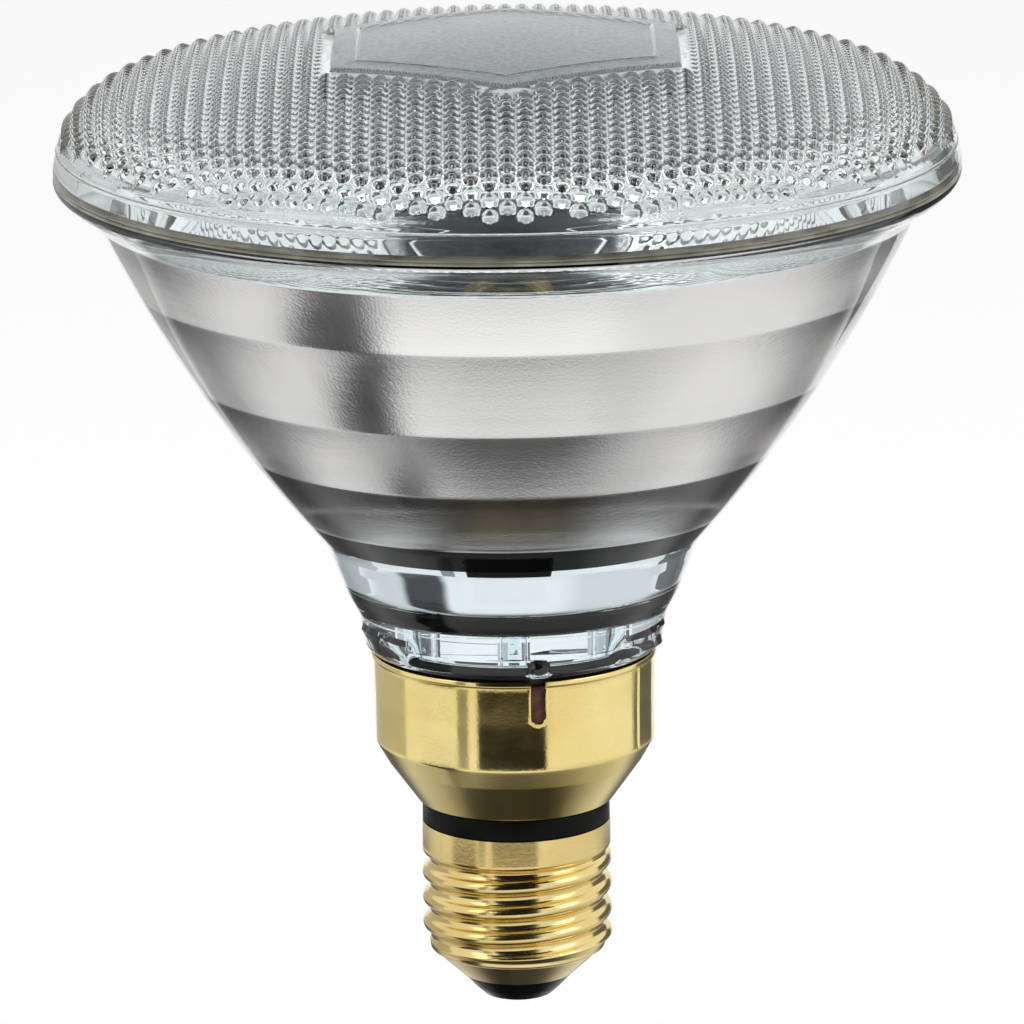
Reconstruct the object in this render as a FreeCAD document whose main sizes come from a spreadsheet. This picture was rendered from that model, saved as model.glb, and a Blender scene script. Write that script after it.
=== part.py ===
"""A reflector spotlight bulb: pressed glass lens and bowl, coated inside, on a skirted screw cap.

The lamp stands on its axis: Z runs from the end contact (z = 0) up to the crown of the lens.
The front of the lamp, where the skirt has its slot, looks towards -Y. All sizes are in millimetres.
"""

import FreeCAD, Part
import Sketcher
import math
import os
import re

doc = FreeCAD.newDocument("spotlight_bulb")

# Driving sizes. Lengths along the axis run upwards from the end contact.
SIZES = {
    # end contact
    "contact_low": 0.25,
    "contact_thickness": 0.55,
    "contact_radius": 4.2,
    "solder_radius": 2.4,
    "solder_flat_radius": 1.5,
    "stem_radius": 1.0,
    "base_flat": 0.5,
    "base_rim": 0.3,
    "base_round_rise": 0.8,
    "base_round_reach": 0.9,
    "base_side_length": 2.45,
    "base_fill_depth": 1.6,
    # screw shell
    "thread_radius": 13.1,
    "thread_pitch": 3.629,
    "thread_arc": 1.025,
    "thread_land": 0.24,
    "thread_sides": 4,
    "thread_length": 15.0,
    "first_crest": 1.7,
    "cutter_spare": 0.6,
    "shell_wall": 0.35,
    "bore_depth": 1.5,
    "edge_depth": 1.3,
    "cone_length": 3.65,
    "cone_reach": 3.9,
    "collar_step": 0.1,
    "collar_length": 3.4,
    # black ring
    "ring_height": 3.0,
    "ring_step": 0.1,
    "ring_neck_depth": 1.7,
    "ring_neck_gap": 0.1,
    "ring_flange_depth": 0.5,
    "ring_flange_rise": 2.0,
    "ring_bore": 5.0,
    "spigot_depth": 1.8,
    # brass skirt
    "skirt_radius": 19.4,
    "skirt_wall": 0.4,
    "skirt_foot_reach": 0.6,
    "skirt_cone_length": 5.7,
    "skirt_bend_reach": 1.5,
    "skirt_bend_length": 3.1,
    "skirt_side_length": 12.85,
    "lip_height": 0.8,
    "lip_reach": 0.3,
    "slot_width": 2.0,
    "slot_depth": 6.1,
    "slot_curve": 1.05,
    "slot_turn": 9.4,
    "cement_gap": 0.8,
    "cement_length": 7.6,
    "cement_below_lip": 0.85,
    # neck of the bowl
    "neck_clearance": 0.85,
    "neck_overhang": 1.0,
    "overhang_bevel": 0.5,
    "neck_band_length": 1.7,
    "neck_flare_length": 3.4,
    "neck_flare_reach": 1.1,
    "neck_length": 9.6,
    "neck_curve": 30.0,
    "neck_relief": 0.4,
    "neck_step": 1.8,
    "heel_length": 10.3,
    "heel_wall": 3.2,
    "heel_floor_rise": 0.7,
    "floor_thickness": 5.5,
    "cavity_inset": 4.5,
    "cavity_side_inset": 4.9,
    "cavity_side_rise": 3.1,
    "pad_count": 3,
    "pad_angle": 38.0,
    "pad_turn": 60.0,
    "pad_reach": 0.8,
    "pad_rise": 0.3,
    "pad_length": 3.6,
    "nib_radius": 1.4,
    "nib_length": 2.3,
    # bowl and mirror
    "bowl_depth": 46.1,
    "bowl_wall": 3.7,
    "bowl_curve": 189.0,
    "focus_above_neck": 7.9,
    "focal_length": 13.0,
    "coat_below_focus": 2.2,
    "lowest_band": 9.1,
    "second_band": 9.9,
    "top_band": 9.3,
    "coat_above_foot": 0.5,
    "coat_thickness": 0.12,
    "flange_foot_reach": 0.6,
    "flange_reach": 5.7,
    "flange_depth": 5.7,
    "flange_bevel": 0.7,
    "rim_band": 0.18,
    "seam_bevel": 0.35,
    # lens
    "lens_rise": 17.7,
    "lens_wall": 3.4,
    "shoulder_radius": 12.0,
    "ledge_rise": 3.6,
    "ledge_step": 0.25,
    "plate_across_flats": 40.0,
    "plate_rise": 0.5,
    # mount of the coil
    "ferrule_gap": 3.0,
    "ferrule_radius": 3.0,
    "ferrule_wall": 0.4,
    "ferrule_length": 8.5,
    "post_radius": 0.6,
    "post_above_focus": 1.0,
    "braze_height": 1.0,
    "bead_below_focus": 6.4,
    "bead_radius": 1.3,
    "bead_overhang": 1.2,
    "coil_radius": 1.0,
    "coil_wire": 0.18,
    "coil_pitch": 1.0,
    "coil_turns": 12,
    "hook_wire": 0.18,
    "hook_gap": 0.15,
    "exhaust_radius": 2.6,
    "exhaust_bore": 1.5,
    "exhaust_length": 10.5,
    # leads
    "lead_radius": 0.35,
    "lead_straight": 5.5,
    "lead_waist_rise": 4.2,
    "side_lead_reach": 4.0,
    "side_weld_rise": 0.8,
    "side_weld_radius": 0.6,
}

# Heights above the end contact and radii that follow from the driving sizes.
DERIVED = {
    "contact_top": "contact_low + contact_thickness",
    "base_flat_radius": "contact_radius + base_rim",
    "base_round_radius": "base_flat_radius + base_round_reach",
    "base_round_height": "base_flat + base_round_rise",
    "cone_end": "base_round_height + base_side_length",
    "cone_end_radius": "shell_edge_radius - cone_reach",
    "shell_edge": "cone_end + cone_length",
    "shell_edge_radius": "thread_radius - edge_depth",
    "shell_bore": "thread_radius - bore_depth",
    "shell_collar_radius": "thread_radius - collar_step",
    "collar_inside": "shell_collar_radius - shell_wall",
    "base_fill_top": "shell_edge + base_fill_depth",
    "thread_crest_height": "shell_edge + first_crest",
    "thread_top": "shell_edge + thread_length",
    "ring_low": "thread_top + collar_length",
    "ring_radius": "shell_collar_radius - ring_step",
    "ring_flange_radius": "ring_radius - ring_flange_depth",
    "spigot_low": "ring_low - spigot_depth",
    "skirt_hole": "ring_radius - ring_neck_depth",
    "skirt_foot": "ring_low + ring_height",
    "skirt_foot_radius": "ring_radius + skirt_foot_reach",
    "ring_flange_top": "skirt_foot + ring_flange_rise",
    "skirt_bend": "skirt_foot + skirt_cone_length",
    "skirt_bend_radius": "skirt_radius - skirt_bend_reach",
    "skirt_crease": "skirt_bend + skirt_bend_length",
    "skirt_top": "skirt_crease + skirt_side_length",
    "lip_low": "skirt_top - lip_height",
    "cement_high": "skirt_top - cement_below_lip",
    "cement_low": "cement_high - cement_length",
    "overhang_height": "skirt_top + neck_clearance",
    "collar_height": "overhang_height + neck_band_length",
    "collar_radius": "skirt_radius + neck_overhang",
    "waist_height": "collar_height + neck_flare_length",
    "waist_radius": "collar_radius + neck_flare_reach",
    "neck_top": "waist_height + neck_length",
    "shoulder_of_neck": "2 * sqrt(focal_length * (focal_length - coat_below_focus)) + neck_step",
    "heel_low": "overhang_height - heel_length",
    "heel_radius": "skirt_radius - skirt_wall - cement_gap",
    "heel_bore": "heel_radius - heel_wall",
    "heel_floor": "overhang_height + heel_floor_rise",
    "cavity_floor": "heel_floor + floor_thickness",
    "cavity_radius": "waist_radius - cavity_inset",
    "cavity_side_height": "cavity_floor + cavity_side_rise",
    "cavity_side_radius": "shoulder_of_neck - cavity_side_inset",
    "pad_radius": "collar_radius + pad_reach",
    "pad_low": "overhang_height + pad_rise",
    "pad_high": "pad_low + pad_length",
    "focus_height": "neck_top + focus_above_neck",
    "flange_foot": "bowl_depth - focus_above_neck",
    "foot_radius": "2 * sqrt(focal_length * (flange_foot + focal_length)) + bowl_wall + flange_foot_reach",
    "rim_radius": "foot_radius + flange_reach",
    "slope_start": "rim_radius - flange_bevel",
    "seam_height": "focus_height + flange_foot + flange_depth",
    "rim_low": "seam_height - seam_bevel - rim_band",
    "crown": "seam_height + lens_rise",
    "ledge_height": "seam_height + ledge_rise",
    "shoulder_centre": "rim_radius - shoulder_radius",
    "dome_radius": (
        "(shoulder_centre^2 + lens_rise^2 - shoulder_radius^2) / (2 * (lens_rise - shoulder_radius))"
    ),
    "dome_centre": "crown - dome_radius",
    "ferrule_spacing": "2 * (heel_bore - ferrule_radius - ferrule_gap)",
    "ferrule_low": "heel_floor - ferrule_length",
    "post_foot": "ferrule_low + ferrule_wall",
    "exhaust_low": "heel_floor - exhaust_length",
    "bead_height": "focus_height - bead_below_focus",
    "bead_half": "ferrule_spacing / 2 + bead_overhang",
    "coil_outside": "coil_radius + coil_wire",
    "coil_half": "coil_pitch * coil_turns / 2",
    "eye_radius": "coil_outside + hook_gap",
    "lead_drop": "ferrule_low - lead_straight",
    "lead_waist": "skirt_foot + lead_waist_rise",
    "side_weld_height": "thread_top + side_weld_rise",
}

sizes = doc.addObject("Spreadsheet::Sheet", "Sizes")
for row, (name, value) in enumerate(SIZES.items(), start=1):
    sizes.set(f"A{row}", name.replace("_", " "))
    sizes.set(f"B{row}", str(value))
    sizes.setAlias(f"B{row}", name)
doc.recompute()


def bound(formula):
    """The formula in driving sizes alone, with the sheet's name before each."""
    def spelled(name):
        if name[0] in DERIVED:
            return f"({bound(DERIVED[name[0]])})"
        return f"Sizes.{name[0]}" if name[0] in SIZES else name[0]

    return re.sub(r"[a-z]\w*", spelled, formula)


def number(formula):
    """What the formula comes to."""
    return float(sizes.evalExpression(bound(formula)))


def tie(thing, **formulas):
    """Binds properties of an object to formulas; a double underscore stands for a dot."""
    for path, formula in formulas.items():
        thing.setExpression(path.replace("__", "."), bound(formula))
    return thing


def place(thing, x="0", y="0", z="0", turn="0"):
    """Moves an object to x, y, z and turns it about Z, all bound to the sheet."""
    thing.Placement = FreeCAD.Placement(FreeCAD.Vector(), FreeCAD.Rotation(FreeCAD.Vector(0, 0, 1), 1))
    tie(thing, Placement__Base__x=x, Placement__Base__y=y, Placement__Base__z=z)
    return tie(thing, Placement__Rotation__Angle=turn)


def arc_between(start, end, radius):
    """The shorter arc between two corners, drawn counter-clockwise, as sketches keep arcs.

    A positive radius bulges to the left of the way from start to end, a negative one to the right.
    """
    middle = (start + end) * 0.5
    along = end - start
    depth = math.sqrt(radius * radius - (along.Length / 2) ** 2)
    left = FreeCAD.Vector(-along.y, along.x, 0).normalize()
    centre = middle - left * math.copysign(depth, radius)
    first, last = (end, start) if radius > 0 else (start, end)
    angles = [math.atan2(point.y - centre.y, point.x - centre.x) for point in (first, last)]
    return Part.ArcOfCircle(Part.Circle(centre, FreeCAD.Vector(0, 0, 1), abs(radius)), *angles)


def outline_sketch(body, outline):
    """A closed sketch on the body's XZ plane through corners (radius, height[, arc radius]).

    A third entry makes the side that leaves that corner an arc. Every corner and every arc
    radius is a constraint bound to the sheet.
    """
    sketch = body.newObject("Sketcher::SketchObject", body.Name + "_outline")
    plane = next(o for o in body.Origin.OriginFeatures if o.Role == "XZ_Plane")
    sketch.AttachmentSupport = [(plane, "")]
    sketch.MapMode = "FlatFace"
    corners = [FreeCAD.Vector(number(c[0]), number(c[1]), 0) for c in outline]
    count = len(outline)
    for i, corner in enumerate(outline):
        start, end = corners[i], corners[(i + 1) % count]
        if len(corner) == 3:
            sketch.addGeometry(arc_between(start, end, number(corner[2])))
        else:
            sketch.addGeometry(Part.LineSegment(start, end))
    turned_back = [len(corner) == 3 and number(corner[2]) > 0 for corner in outline]
    for i in range(count):
        here = (i, 1 if turned_back[i] else 2)
        after = (i + 1) % count
        there = (after, 2 if turned_back[after] else 1)
        sketch.addConstraint(Sketcher.Constraint("Coincident", *here, *there))
    for i, corner in enumerate(outline):
        point = (i, 2 if turned_back[i] else 1)
        for kind, axis, formula in (("DistanceX", -2, corner[0]), ("DistanceY", -1, corner[1])):
            if formula == "0":
                sketch.addConstraint(Sketcher.Constraint("PointOnObject", *point, axis))
                continue
            index = sketch.addConstraint(Sketcher.Constraint(kind, -1, 1, *point, number(formula)))
            sketch.setExpression(f"Constraints[{index}]", bound(formula))
        if len(corner) == 3:
            radius = f"abs({corner[2]})"
            index = sketch.addConstraint(Sketcher.Constraint("Radius", i, number(radius)))
            sketch.setExpression(f"Constraints[{index}]", bound(radius))
    return sketch


def turned(label, outline, angle="360"):
    """A body turned about its Z axis from an outline."""
    body = doc.addObject("PartDesign::Body", label)
    body.Label = label
    sketch = outline_sketch(body, outline)
    turn = body.newObject("PartDesign::Revolution", label + "_turn")
    turn.Profile = sketch
    turn.ReferenceAxis = (sketch, ["V_Axis"])
    turn.Midplane = True
    tie(turn, Angle=angle)
    body.Tip = turn
    return body


def laid(thing, x="0", z="0"):
    """Lays an object along X, with its foot at x, z."""
    thing.Placement = FreeCAD.Placement(FreeCAD.Vector(), FreeCAD.Rotation(FreeCAD.Vector(0, 1, 0), 90))
    return tie(thing, Placement__Base__x=x, Placement__Base__z=z)


def cylinder(name, radius, height):
    return tie(doc.addObject("Part::Cylinder", name), Radius=radius, Height=height)


def rod(name, radius, height, **where):
    """An upright cylinder; where takes the entries of place."""
    return place(cylinder(name, radius, height), **where)


def cut(label, base, tool):
    result = doc.addObject("Part::Cut", label)
    result.Label, result.Base, result.Tool = label, base, tool
    return result


def joined(label, pieces, kind="Part::MultiFuse"):
    result = doc.addObject(kind, label)
    result.Label, result.Shapes = label, pieces
    return result


def made(label, shape):
    """A sub-part whose shape comes straight from the modelling functions."""
    piece = doc.addObject("Part::Feature", label)
    piece.Label, piece.Shape = label, shape
    return piece


# The lens: a shallow dome that rolls over a round shoulder into the seam.

def dome_meets_shoulder(radius):
    """Where a dome of that radius about the dome's centre runs into its shoulder arc."""
    share = f"({radius}) / (dome_radius - shoulder_radius)"
    return f"{share} * shoulder_centre", f"dome_centre + {share} * (seam_height - dome_centre)"


outer_tangent = dome_meets_shoulder("dome_radius")
inner_dome = "(dome_radius - lens_wall)"
inner_tangent = dome_meets_shoulder(inner_dome)
ledge_radius = "(shoulder_centre + sqrt(shoulder_radius^2 - ledge_rise^2))"
lens_blank = turned("lens_blank", [
    ("0", "crown", "dome_radius"),
    (*outer_tangent, "shoulder_radius"),
    (ledge_radius, "ledge_height"),
    (f"{ledge_radius} + ledge_step", "ledge_height - ledge_step"),
    ("rim_radius", "seam_height + seam_bevel"),
    ("rim_radius - seam_bevel", "seam_height"),
    ("rim_radius - lens_wall", "seam_height"),
    (*inner_tangent, f"-{inner_dome}"),
    ("0", "crown - lens_wall"),
])

# The plain hexagon in the middle of the lens follows the dome, a little proud of it.
plate_dome = "(dome_radius + plate_rise)"
plate_half = "(shoulder_centre / 2)"
plate_blank = turned("plate_blank", [
    ("0", "crown + plate_rise", plate_dome),
    (plate_half, f"dome_centre + sqrt({plate_dome}^2 - {plate_half}^2)"),
    (plate_half, "seam_height + shoulder_radius"),
    ("0", "seam_height + shoulder_radius"),
])
hexagon = doc.addObject("Part::Prism", "hexagon")
hexagon.Polygon = 6
tie(hexagon, Circumradius="plate_across_flats / sqrt(3)", Height="lens_wall * 2")
place(hexagon, z="crown - lens_wall + plate_rise / 2", turn="30")
plate = joined("plate", [plate_blank, hexagon], "Part::MultiCommon")
lens = joined("lens", [lens_blank, plate])

# The bowl: outside it is one long curve down to the neck, and inside it has four bands,
# whose edges lie on the paraboloid about the coil.


def mirror_radius(rise):
    """Radius of the paraboloid whose focus is the coil, at a height above the coil."""
    return f"2 * sqrt(focal_length * ({rise} + focal_length))"


BAND_EDGES = [
    "-coat_below_focus",
    "lowest_band - coat_below_focus",
    "lowest_band + second_band - coat_below_focus",
    "flange_foot + coat_above_foot - top_band",
    "flange_foot + coat_above_foot",
]
bowl_top = "flange_foot - flange_foot_reach"
bands = [(mirror_radius(rise), f"focus_height + {rise}") for rise in BAND_EDGES]
glass = turned("glass", [
    ("rim_radius - seam_bevel", "seam_height"),
    ("rim_radius", "seam_height - seam_bevel"),
    ("rim_radius", "rim_low"),
    ("slope_start", "rim_low - 2 * flange_bevel"),
    ("foot_radius", "focus_height + flange_foot"),
    (f"{mirror_radius(bowl_top)} + bowl_wall", f"focus_height + {bowl_top}", "bowl_curve"),
    ("shoulder_of_neck", "neck_top"),
    ("shoulder_of_neck - neck_relief", "neck_top - neck_relief", "neck_curve"),
    ("waist_radius", "waist_height"),
    ("collar_radius", "collar_height"),
    ("collar_radius", "overhang_height"),
    ("collar_radius - overhang_bevel", "overhang_height - overhang_bevel"),
    ("heel_radius", "overhang_height - overhang_bevel"),
    ("heel_radius", "heel_low"),
    ("heel_bore", "heel_low"),
    ("heel_bore", "heel_floor"),
    ("0", "heel_floor"),
    ("0", "cavity_floor"),
    ("cavity_radius", "cavity_floor"),
    ("cavity_side_radius", "cavity_side_height"),
    *bands,
    ("rim_radius - lens_wall", "seam_height"),
])
pads = [glass]
for i in range(SIZES["pad_count"]):
    pad = turned(f"pad_{i + 1}", [
        ("heel_radius + nib_radius", "pad_low"),
        ("pad_radius", "pad_low"),
        ("pad_radius", "collar_height"),
        ("waist_radius", "pad_high"),
        ("heel_radius + nib_radius", "pad_high"),
    ], angle="pad_angle")
    pads.append(place(pad, turn=f"pad_turn + {i} * 360 / pad_count - 90"))
nib_out = "(collar_radius - nib_radius / 3)"
pads.append(rod(
    "nib", "nib_radius", "nib_length",
    x=f"{nib_out} * sin(slot_turn)", y=f"-{nib_out} * cos(slot_turn)", z="overhang_height",
))
pressed_glass = joined("pressed_glass", pads)
passages = [rod("exhaust_hole", "exhaust_bore", "cavity_floor", z="cavity_floor / 2")]
for name, side in (("left", "-"), ("right", "")):
    passages.append(rod(
        f"{name}_hole", "ferrule_radius - 2 * ferrule_wall", "cavity_floor",
        x=f"{side}ferrule_spacing / 2", z="cavity_floor / 2",
    ))
reflector_bowl = cut("reflector_bowl", pressed_glass, joined("passages", passages))

# The aluminium film on the four bands.
film_inside = [(f"{radius} - coat_thickness", height) for radius, height in bands]
mirror_coating = turned("mirror_coating", bands + film_inside[::-1])

# What the glass heel carries: exhaust tube, ferrules, posts, glass bead, hook and coil.
exhaust_tip = turned("exhaust_tip", [
    ("exhaust_radius", "heel_floor"),
    ("exhaust_radius", "exhaust_low + exhaust_radius"),
    ("exhaust_radius / 3", "exhaust_low"),
    ("0", "exhaust_low"),
    ("0", "exhaust_low + exhaust_radius"),
    ("exhaust_bore", "exhaust_low + exhaust_radius + exhaust_bore"),
    ("exhaust_bore", "heel_floor"),
])


def wire_shape(corners, radius):
    """A thin round wire bent sharply at its corners; all lengths are numbers."""
    points = [FreeCAD.Vector(*corner) for corner in corners]
    profile = Part.Wire(Part.makeCircle(radius, points[0], points[1] - points[0]))
    return Part.makePolygon(points).makePipeShell([profile], True, False, 1)


ferrules, posts, brazes = [], [], []
for name, side in (("left", "-"), ("right", "")):
    across = f"{side}ferrule_spacing / 2"
    ferrule = turned(f"ferrule_{name}", [
        ("0", "ferrule_low"),
        ("ferrule_radius", "ferrule_low"),
        ("ferrule_radius", "heel_floor"),
        ("ferrule_radius - ferrule_wall", "heel_floor"),
        ("ferrule_radius - ferrule_wall", "post_foot"),
        ("0", "post_foot"),
    ])
    ferrules.append(place(ferrule, x=across))
    post = rod(
        f"lead_post_{name}", "post_radius", "focus_height + post_above_focus - post_foot",
        x=across, z="post_foot",
    )
    posts.append(post)
    braze = turned(f"braze_{name}", [
        ("post_radius", "post_foot"),
        ("ferrule_radius - ferrule_wall", "post_foot"),
        ("ferrule_radius - ferrule_wall", "post_foot + braze_height / 2"),
        ("post_radius", "post_foot + braze_height"),
    ])
    brazes.append(place(braze, x=across))

bead_rod = laid(cylinder("bead_rod", "bead_radius", "2 * bead_half"), "-bead_half", "bead_height")
bead_holes = [rod(
    f"bead_hole_{name}", "post_radius", "4 * bead_radius",
    x=f"{side}ferrule_spacing / 2", z="bead_height - 2 * bead_radius",
) for name, side in (("left", "-"), ("right", ""))]
bead_holes.append(rod("stem_hole", "hook_wire", "2 * bead_radius", z="bead_height"))
bridge_bead = cut("bridge_bead", bead_rod, joined("bead_holes", bead_holes))

# The hook ends in an eye of flattened wire round the middle of the coil.
hook_eye = laid(turned("hook_eye", [
    ("eye_radius", "-hook_wire / 2"),
    ("eye_radius + 2 * hook_wire", "-hook_wire / 2"),
    ("eye_radius + 2 * hook_wire", "hook_wire / 2"),
    ("eye_radius", "hook_wire / 2"),
]), z="focus_height")
hook_stem = rod("hook_stem", "hook_wire", "bead_below_focus - eye_radius - hook_wire", z="bead_height")
filament_hook = joined("filament_hook", [hook_eye, hook_stem])

# The coil is wound close, so its solid is the rod that it fills, with a straight leg to each post.
coil_rod = laid(cylinder("coil_rod", "coil_outside", "2 * coil_half"), "-coil_half", "focus_height")
legs = laid(cylinder("legs", "coil_wire", "ferrule_spacing"), "-ferrule_spacing / 2", "focus_height")
filament = cut("filament", joined("coil", [coil_rod, legs]), joined("posts", posts))

# The brass skirt, its cement and the black ring below it.
skirt_blank = turned("skirt_blank", [
    ("skirt_radius - skirt_wall", "skirt_top"),
    ("skirt_radius + lip_reach", "skirt_top"),
    ("skirt_radius + lip_reach", "lip_low"),
    ("skirt_radius", "lip_low"),
    ("skirt_radius", "skirt_crease"),
    ("skirt_bend_radius", "skirt_bend"),
    ("skirt_foot_radius", "skirt_foot + skirt_wall"),
    ("skirt_foot_radius - skirt_wall", "skirt_foot"),
    ("skirt_hole", "skirt_foot"),
    ("skirt_hole", "skirt_foot + skirt_wall"),
    ("skirt_foot_radius - skirt_wall", "skirt_foot + skirt_wall"),
    ("skirt_bend_radius - skirt_wall", "skirt_bend + skirt_wall / 2"),
    ("skirt_radius - skirt_wall", "skirt_crease"),
])
slot = doc.addObject("PartDesign::Body", "slot")
slot_pad = slot.newObject("PartDesign::Pad", "slot_pad")
slot_floor = "skirt_top - slot_depth + slot_width / 2"
slot_pad.Profile = outline_sketch(slot, [
    ("-slot_width / 2", slot_floor, "-slot_curve"),
    ("slot_width / 2", slot_floor),
    ("slot_width / 2", "skirt_top + slot_width"),
    ("-slot_width / 2", "skirt_top + slot_width"),
])
tie(slot_pad, Length="2 * skirt_radius")
slot.Tip = slot_pad
skirt = cut("skirt", skirt_blank, place(slot, turn="slot_turn"))
basing_cement = turned("basing_cement", [
    ("heel_radius", "cement_low"),
    ("skirt_radius - skirt_wall", "cement_low"),
    ("skirt_radius - skirt_wall", "cement_high"),
    ("heel_radius", "cement_high"),
])
ring_neck = "skirt_hole - ring_neck_gap"
insulator_ring = turned("insulator_ring", [
    ("ring_bore", "spigot_low"),
    ("collar_inside", "spigot_low"),
    ("collar_inside", "ring_low"),
    ("ring_radius", "ring_low"),
    ("ring_radius", "skirt_foot"),
    (ring_neck, "skirt_foot"),
    (ring_neck, "skirt_foot + skirt_wall"),
    ("ring_flange_radius", "skirt_foot + skirt_wall"),
    ("ring_flange_radius", "ring_flange_top"),
    ("ring_bore", "ring_flange_top"),
])


# The screw shell. Its cone holds the base insulator, and its collar holds the black ring.
cone_slope = "(shell_edge - cone_end) / (shell_edge_radius - cone_end_radius)"
cone_lift = f"(shell_wall * sqrt(1 + ({cone_slope})^2))"
cone_inside = f"(cone_end + {cone_lift} + (shell_bore - cone_end_radius) * {cone_slope})"


def thread_radius_at(along):
    """Radius of the round thread at a distance along the axis from the middle of its groove.

    Groove and crest are equal arcs that meet in the middle of the flank.
    """
    pitch, arc = number("thread_pitch"), number("thread_arc")
    crest_centre = number("thread_radius") - arc
    if abs(along) < pitch / 4:
        groove_centre = crest_centre + 2 * math.sqrt(arc**2 - (pitch / 4) ** 2)
        return groove_centre - math.sqrt(arc**2 - along**2)
    return crest_centre + math.sqrt(arc**2 - (pitch / 2 - abs(along)) ** 2)


def thread_cutter():
    """The round groove between the crests, with straight sides, carried up the helix turn by turn."""
    pitch, outside = number("thread_pitch"), number("thread_radius + cutter_spare")
    low = number("thread_crest_height") - 1.5 * pitch
    turns = math.ceil((number("thread_top") - low) / pitch)
    half = (pitch - number("thread_land")) / 2
    across = [half * (2 * i / number("thread_sides") - 1) for i in range(SIZES["thread_sides"] + 1)]
    corners = [FreeCAD.Vector(thread_radius_at(along), 0, low + along) for along in across]
    corners += [FreeCAD.Vector(outside, 0, low + along) for along in (half, -half)]
    helix = []
    for i in range(turns):
        coil = Part.makeHelix(pitch, pitch, number("thread_radius"))
        coil.translate(FreeCAD.Vector(0, 0, low + i * pitch))
        helix += coil.Edges
    return Part.Wire(helix).makePipeShell([Part.makePolygon(corners, True)], True, True)


thread_blank = rod("thread_blank", "thread_radius", "thread_length", z="shell_edge")
thread = cut("thread", thread_blank, made("thread_cutter", thread_cutter()))
shell_cone = turned("shell_cone", [
    ("0", "cone_end"),
    ("cone_end_radius", "cone_end"),
    ("shell_edge_radius", "shell_edge"),
    ("0", "shell_edge"),
])
shell_collar = rod("shell_collar", "shell_collar_radius", "ring_low - thread_top", z="thread_top")
shell_inside = turned("shell_inside", [
    ("0", "cone_end"),
    ("cone_end_radius", "cone_end"),
    ("cone_end_radius", f"cone_end + {cone_lift}"),
    ("shell_bore", cone_inside),
    ("shell_bore", "thread_top"),
    ("collar_inside", "thread_top"),
    ("collar_inside", "ring_low"),
    ("0", "ring_low"),
])
screw_shell = cut("screw_shell", joined("shell_outside", [shell_cone, thread, shell_collar]), shell_inside)

# The end contact: black insulator, plate and solder.
base_insulator = turned("base_insulator", [
    ("lead_radius", "contact_top"),
    ("contact_radius", "contact_top"),
    ("contact_radius", "base_flat"),
    ("base_flat_radius", "base_flat"),
    ("base_round_radius", "base_round_height"),
    ("cone_end_radius", "cone_end"),
    ("cone_end_radius", f"cone_end + {cone_lift}"),
    ("shell_bore", cone_inside),
    ("shell_bore", "base_fill_top"),
    ("lead_radius", "base_fill_top"),
])
contact_plate = turned("contact_plate", [
    ("stem_radius", "contact_low"),
    ("contact_radius", "contact_low"),
    ("contact_radius", "contact_top"),
    ("stem_radius", "contact_top"),
])
contact_solder = turned("contact_solder", [
    ("0", "0"),
    ("solder_flat_radius", "0"),
    ("solder_radius", "contact_low"),
    ("stem_radius", "contact_low"),
    ("stem_radius", "contact_top"),
    ("0", "contact_top"),
])

# The leads from the ferrules to the end contact and to the collar of the shell.


def lead(label, *corners):
    """A lead through corners whose entries are formulas for x and z."""
    points = [(number(x), 0, number(z)) for x, z in corners]
    return made(label, wire_shape(points, number("lead_radius")))


centre_lead = lead(
    "centre_lead", ("-ferrule_spacing / 2", "ferrule_low"), ("-ferrule_spacing / 2", "lead_drop"),
    ("0", "lead_waist"), ("0", "contact_top"),
)
side_lead = lead(
    "side_lead", ("ferrule_spacing / 2", "ferrule_low"), ("ferrule_spacing / 2", "lead_drop"),
    ("side_lead_reach", "lead_waist"), ("side_lead_reach", "side_weld_height"),
    ("collar_inside - side_weld_radius", "side_weld_height"),
)
weld_ball = tie(doc.addObject("Part::Sphere", "weld_ball"), Radius="side_weld_radius")
place(weld_ball, x="collar_inside - side_weld_radius / 2", z="side_weld_height")
weld_limit = rod("weld_limit", "collar_inside", "ring_low")
side_weld = cut("side_weld", joined("weld_in_collar", [weld_ball, weld_limit], "Part::MultiCommon"), side_lead)

doc.recompute()

PIECES = [
    lens, reflector_bowl, mirror_coating, exhaust_tip, *ferrules, *posts, *brazes, bridge_bead,
    filament_hook, filament, skirt, basing_cement, insulator_ring, screw_shell, base_insulator,
    contact_plate, contact_solder, centre_lead, side_lead, side_weld,
]
for thing in doc.Objects:
    if {"Invalid", "Error"} & set(thing.State):
        raise RuntimeError(f"{thing.Name} could not be made")
for piece in PIECES:
    if piece.Shape.isNull() or not piece.Shape.isValid():
        raise RuntimeError(f"{piece.Label} is not a valid solid")

os.makedirs("parts", exist_ok=True)
for piece in PIECES:
    piece.Shape.exportStep(f"parts/{piece.Label}.step")
    print(f"{piece.Label}: {len(piece.Shape.Solids)} solid, {piece.Shape.Volume:.1f} cubic mm")
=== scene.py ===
# %% [markdown]
# A reflector spotlight bulb is a pressed glass lens fused to a pressed glass bowl. The bowl is
# silvered inside down to its neck, and a skirted brass cap is cemented to the neck. The solids
# of the lamp come from its engineering model and are the fixed frame here. This notebook gives
# them their finish, and models the forms that are too fine for that model: the beads of the
# lens, the round thread, the rolled lip of the skirt and the coil.

# %% Load the frame
import math

import bmesh
import bpy
import numpy as np
from mathutils import Matrix, Quaternion, Vector
from mathutils.geometry import delaunay_2d_cdt


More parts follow.
